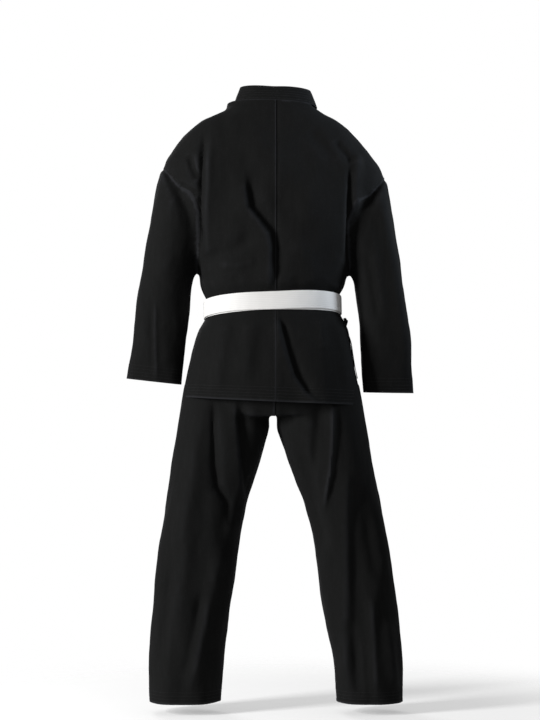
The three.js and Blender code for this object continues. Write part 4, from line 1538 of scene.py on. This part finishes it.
def side_tie(kind, side, front_body, back_body):
    """A tie's knot and its two hanging tapes."""
    low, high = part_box(f"{kind}_knot")
    is_outer = kind == "outer_tie"
    close = 7 * MM if is_outer else 0.0  # drawn in against the skirt
    forward = 0.0 if is_outer else 4 * MM  # clear of the swinging skirt
    wide = (15 if is_outer else 12) * MM
    out = side * (high.x - low.x) / 2
    tall, deep = high.z - low.z, high.y - low.y
    mx, my, mz = (low + high) / 2 - Vector((side * close, 0, 0))

    def at(x, y, z):
        return (mx + x * out, my + y * deep / 2, mz + z * tall / 2)

    turn = strap(
        "tie_turn",
        [
            at(-0.7, -0.2, 0.9), at(0.4, -0.1, 0.95), at(0.95, 0.0, 0.2),
            at(0.85, 0.1, -0.7), at(-0.4, 0.1, -0.95),
        ],
        [(0, 1, 0.15)] * 5,
        [0.012, 0.011, 0.010, 0.012],
        TAPE, rows=14, count=40, channels=False,
    )
    loops = []
    for way in (-1, 1):
        loops.append(strap(
            "tie_loop",
            [
                at(0.1, 0.1 * way, 0.5), at(0.55, 0.6 * way, 0.75), at(0.45, 1.0 * way, 0.25),
                at(0.1, 0.7 * way, -0.35), at(-0.3, 0.1 * way, -0.4),
            ],
            [(0.8, 0.2 * way, 0.6)] * 5,
            [0.010, 0.011, 0.012, 0.011, 0.010],
            TAPE, rows=12, count=40, channels=False,
        ))
    knot = joined_objects(turn, loops)
    knot.name = f"{kind}_knot_tape"
    dress(knot, BLACK, "black_cotton_canvas")
    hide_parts(f"{kind}_knot")
    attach(knot, "torso")
    for end, way, body in (("front", -1, front_body), ("back", 1, back_body)):
        node = f"{kind}_tail_{end}"
        lo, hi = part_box(node)
        points = corners_of(node).reshape(-1, 3)
        path, across = [(mx, my + way * 0.002, mz + 0.001)], [(0, 1, 0)]
        for t in (0.06, 0.3, 0.55, 0.8, 1.0):
            z = hi.z + (lo.z - hi.z) * t
            here = points[np.argsort(np.abs(points[:, 2] - z))[:12]]
            across_way = np.array((0.1 * math.sin(t * 7 + way), 1.0, 0.04 * way))
            y = (here[:, 1].min() + here[:, 1].max()) / 2 - forward
            path.append((here[:, 0].mean() - side * close, y, z))
            across.append(tuple(across_way))
        widths = [10 * MM, wide - MM, wide, wide, wide]
        made = strap(f"{node}_tape", path, across, widths, TAPE, rows=14, count=70, channels=False)
        dress(made, BLACK, "black_cotton_canvas")
        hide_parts(node)
        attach(made, body)


# Trousers

TROUSER_FOLDS = [
    Fold(
        [(150, -180), (153, -300), (150, -391), (142, -445), (119, -482), (109, -560)],
        -9, 22, step=-2, crisp=3,
    ),
    Fold([(92, -180), (87, -282), (78, -409), (70, -500)], -4, 26, step=-7, crisp=3),
    Fold([(190, -240), (206, -400), (226, -600), (244, -860)], 5, 34, step=2),
    Fold([(126, -560), (160, -700), (196, -860), (214, -985)], 4, 26, step=3),
    Fold([(60, -330), (86, -460), (120, -600)], 4, 24),
    Fold([(262, -640), (272, -760), (286, -900)], -4, 22),
    Fold([(178, -700), (196, -800), (220, -930)], -5, 20),
    Fold([(-146, -190), (-148, -300), (-143, -400), (-126, -520)], 6, 18, step=-4, crisp=3),
    Fold([(-110, -240), (-104, -340), (-98, -420)], -4, 22),
    Fold([(-190, -360), (-188, -527), (-190, -700), (-192, -860), (-194, -1010)], 2, 34, step=-6, crisp=3),
    Fold([(-240, -700), (-246, -820), (-252, -980)], 5, 18, step=3),
    Fold([(-60, -330), (-92, -480), (-130, -640)], -5, 26, step=-3),
    Fold([(-214, -420), (-236, -560), (-262, -700)], -5, 24),
    Fold([(-180, -760), (-196, -860), (-212, -980)], -5, 22),
    Fold([(-284, -760), (-292, -860), (-300, -960)], 4, 18),
    Fold([(150, -260), (160, -440), (190, -640), (230, -960)], 7, 30, step=4, side=-1),
    Fold([(-150, -260), (-165, -440), (-196, -640), (-232, -960)], 7, 30, step=-4, side=-1),
    Fold([(60, -310), (100, -420), (140, -500)], -6, 24, side=-1),
    Fold([(-50, -310), (-92, -420), (-132, -520)], -6, 24, side=-1),
    Fold([(120, -640), (150, -760), (180, -900)], -5, 24, side=-1),
    Fold([(-130, -620), (-160, -760), (-190, -900)], -5, 24, side=-1),
]
TROUSER_SOFT = [((60, 60, 190), 6.0, 21), ((30, 30, 80), 2.2, 22), ((13, 13, 24), 0.5, 23)]


def leg_edges(side):
    """The leg's outer and inner ends at the hip, and at the hem."""
    points = corners_of("left_leg" if side > 0 else "right_leg").reshape(-1, 3)
    reach = points[:, 0] * side
    outer = points[points[:, 2].argmax()]
    near_top = points[points[:, 2] > points[:, 2].max() - 0.05]
    inner = near_top[(near_top[:, 0] * side).argmin()]
    low = points[points[:, 2] < points[:, 2].min() + 0.002]
    far, near = low[(low[:, 0] * side).argmax()], low[(low[:, 0] * side).argmin()]
    flat = np.array((1, 0, 1))
    return (outer * flat, inner * flat), (far * flat, near * flat)


def leg_tube(side):
    triangles = corners_of("left_leg" if side > 0 else "right_leg")
    hip, hem = leg_edges(side)
    order = slice(None, None, side)
    planes = [between(hip[order], hem[order], t) for t in np.linspace(0.006, 0.996, 60)]
    tube = Tube(planes, triangles, 120)
    first, last = tube.rings[0], tube.rings[-1]
    centre = first.mean(0)
    heart = centre * (0.95, 1, 1) + np.array([side * 4 * MM, 0, 0])  # the rings inside the seat
    above = [heart + (first - centre) * k + Z * h for h, k in ((0.09, 0.9), (0.045, 0.97))]
    way = last.mean(0) - tube.rings[-5].mean(0)
    return tube.grown(above, [last + way / np.linalg.norm(way) * 0.03])


def seat_tube():
    triangles = corners_of("seat_left", "seat_right")
    low = triangles[..., 2].min()
    high = BELT_MIDDLE[0] - 0.035
    planes = []
    for z in np.linspace(low + 0.002, high, 26):
        planes.append(level(z, BELT_MIDDLE[2] * smoothstep(-0.13, high, z)))
    tube = Tube(planes, triangles)
    top, bottom = tube.rings[-1], tube.rings[0]
    return tube.grown([(bottom - bottom.mean(0)) * 0.97 + bottom.mean(0) - Z * 0.003],
                      [top + Z * 0.02 + Y * 0.001, top + Z * 0.04])


def trousers():
    made = fused("trouser_skin", [closed(seat_tube()), closed(leg_tube(1)), closed(leg_tube(-1))], 14)
    top = BELT_MIDDLE[0] - 0.02

    def hold(places):
        return smoothstep(top, top - 0.15, places[:, 2]) * (1 - 0.75 * smoothstep(-0.28, -0.22, places[:, 2]))

    drape(made, TROUSER_FOLDS, TROUSER_SOFT, hold)
    modify(made, "SMOOTH", factor=0.4, iterations=1)
    settle(made)
    waist = top
    slice_off(made, (0, 0, waist), (0, -BELT_MIDDLE[2], 1), keep=lambda c: c.z > -0.12)
    crotch = []
    for side in (1, -1):
        hip, hem = leg_edges(side)
        plane = Plane(*hem[slice(None, None, side)])
        slice_off(made, plane.middle, (0, 0, -1), keep=lambda p, s=side: p.x * s > 0 and p.z < -0.8)
        crotch.append(hip[1])
    split_x = (crotch[0][0] + crotch[1][0]) / 2
    for side, name in ((1, "left"), (-1, "right")):
        half = bpy.data.objects.new(f"{name}_trouser_cloth", made.data.copy())
        bpy.context.scene.collection.objects.link(half)
        slice_off(half, (split_x - side * LAP, 0, 0), (-side, 0, 0))
        if side < 0:
            tuck(half, split_x, lambda p: p[:, 2] > -0.4)
        drop_loose(half)
        (hip, _), hem = leg_edges(side)
        foot = hem[0][2]

        def near_foot(c, top_edge=foot + 0.04):
            return c.z < top_edge

        facing = facing_patch(half, f"{name}_trouser_facing", near_foot, inward=2.4 * MM)
        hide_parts(f"{name}_leg_hem")
        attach(facing, f"{name}_leg_piece")
        knee = (hip[2] + foot) / 2 + 0.03
        knee_x = (hip[0] + hem[0][0] + hem[1][0]) / 3 * 1.06

        def on_knee(c, x=knee_x, z=knee):
            return abs(c.z - z) < 0.13 and c.y < -0.03 and abs(c.x - x) < 0.085

        patch = facing_patch(half, f"{name}_knee_facing", on_knee, inward=2.6 * MM)
        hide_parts(f"{name}_knee_patch")
        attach(patch, f"{name}_leg_piece")
        rows = []
        for k in range(4):
            plane = level(foot + (5 + 8.5 * k) * MM)
            rows.append(loop_round(half, plane, lambda c, s=side: (c[:, 0] * s > 0) & (c[:, 2] < -0.9)))
        hem_rows = stitches(f"{name}_trouser_stitching", rows, BLACK_THREAD)
        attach(hem_rows, f"{name}_leg_piece")
        thicken(half, CANVAS)
        dress(half, BLACK, "black_cotton_canvas")
        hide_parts(f"seat_{name}", f"{name}_leg")
        apex = np.array([split_x, 0, crotch[0][2]])
        start, end = apex + (0, 0, 0.004), apex + (side * 0.04, 0, -0.115)
        tuple(start)
        tuple(end)
        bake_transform(half)
    bpy.data.objects.remove(made)
    waist_pieces()


def waist_pieces():
    """The gathered waistband with the elastic and the facing inside it, and the gusset under the seat."""
    triangles = corners_of("waistband")
    a, b, c = middle_plane("waistband")
    half = 0.018
    tube = Tube([level(a + h, c, b) for h in np.linspace(-half, half, 5)], triangles, 160)
    turns = np.linspace(0, math.tau, 361)
    share = np.linspace(0, 1, 15)
    base = tube.at(share[:, None], turns[None] % math.tau)
    gather = 0.9 * MM * np.sin(turns * 90)
    layers = (
        ("waistband", "waistband_cloth", 0.0, BLACK, "black_cotton_canvas"),
        ("waist_elastic", "waist_webbing", -2.4 * MM, ELASTIC, "elastic_webbing"),
        ("waistband_facing", "waistband_lining", -4.8 * MM, FACING, "black_cotton_facing"),
    )
    for node, name, out, material, slot in layers:
        normals = grid_normals(base)
        places = base + normals * (out + gather * (0.3 if node == "waist_elastic" else 1))[None, :, None]
        faces = grid_faces(len(share) - 1, len(turns) - 1, closed=True)
        made = mesh_object(name, places[:, :-1].reshape(-1, 3), faces)
        thicken(made, 1.0 * MM)
        dress(made, material, slot)
        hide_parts(node)
        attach(made, "torso")
    low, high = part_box("crotch_gusset")
    n = 24
    u, v = np.meshgrid(np.linspace(-1, 1, n + 1), np.linspace(-1, 1, n + 1))
    x = (u - v) / 2 * (high.x - low.x) / 2 + (low.x + high.x) / 2
    y = (u + v) / 2 * (high.y - low.y) / 2 + (low.y + high.y) / 2
    sag = -0.006 * (1 - np.maximum(abs(u), abs(v)) ** 2)
    places = np.stack([x, y, high.z + 0.006 + sag], 2)
    made = mesh_object("gusset_cloth", places.reshape(-1, 3), grid_faces(n, n))
    correct_faces(made)
    thicken(made, CANVAS)
    dress(made, BLACK, "black_cotton_canvas")
    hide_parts("crotch_gusset")
    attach(made, "torso")


# Studio


def lamp(name, place_at, aim, size, power, colour=(1, 1, 1), spread=180):
    light = bpy.data.lights.new(name, "AREA")
    light.spread = math.radians(spread)
    light.shape, light.size, light.size_y = "RECTANGLE", *size
    light.energy, light.color = power, colour
    made = bpy.data.objects.new(name, light)
    made.location = place_at
    made.rotation_euler = (Vector(aim) - Vector(place_at)).to_track_quat("-Z", "Y").to_euler()
    bpy.context.scene.collection.objects.link(made)


FLOOR_HALF = 30
AMBIENT = 0.33  # how bright the white backdrop is as a light
EYE_DISTANCE = 6.0
EYE_HEIGHT = 0.890  # above the sole


def studio(sole):
    turned = ((-1, -1), (1, -1), (1, 1), (-1, 1))
    floor = mesh_object("floor", [(x * FLOOR_HALF, y * FLOOR_HALF, sole) for x, y in turned], [(0, 1, 2, 3)])
    floor.data.materials.append(studio_floor())
    world = bpy.data.worlds.new("studio")
    world.use_nodes = True
    nodes, links = world.node_tree.nodes, world.node_tree.links
    background = nodes["Background"]
    background.inputs["Color"].default_value = (1, 1, 1, 1)
    seen = nodes.new("ShaderNodeMapRange")  # a white backdrop that lights the room only softly
    seen.inputs["To Min"].default_value, seen.inputs["To Max"].default_value = AMBIENT, 1.0
    links.new(nodes.new("ShaderNodeLightPath").outputs["Is Camera Ray"], seen.inputs["Value"])
    links.new(seen.outputs[0], background.inputs["Strength"])
    bpy.context.scene.world = world
    lamp("key", (3.4, 2.1, 0.6), (0, 0, -0.3), (0.9, 1.6), 260)
    lamp("rim", (-2.4, 0.1, 0.9), (-0.25, 0, 0.5), (0.5, 1.0), 5, (0.80, 0.89, 1.0), spread=36)
    lamp("front", (1.4, -3.2, 1.5), (0, 0, 0), (1.4, 1.8), 45)
    camera = bpy.data.cameras.new("camera")
    camera.lens, camera.sensor_fit, camera.sensor_width, camera.sensor_height = 118.6, "VERTICAL", 24, 36
    eye = bpy.data.objects.new("camera", camera)
    eye.location = (0.0103, EYE_DISTANCE, EYE_HEIGHT + sole)
    eye.rotation_euler = (math.pi / 2, 0, math.pi)
    bpy.context.scene.collection.objects.link(eye)
    bpy.context.scene.camera = eye
    bpy.context.scene.view_settings.view_transform = "Standard"


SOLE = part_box("left_leg")[0].z - 29 * MM
studio(SOLE)
jacket()
skirt_skin = skirts()
collar()
lapels(skirt_skin)
belt()
side_tie("outer_tie", -1, "outer_tie_tail_front_piece", "outer_tie_tail_back_piece")
side_tie("inner_tie", 1, "torso", "torso")
trousers()
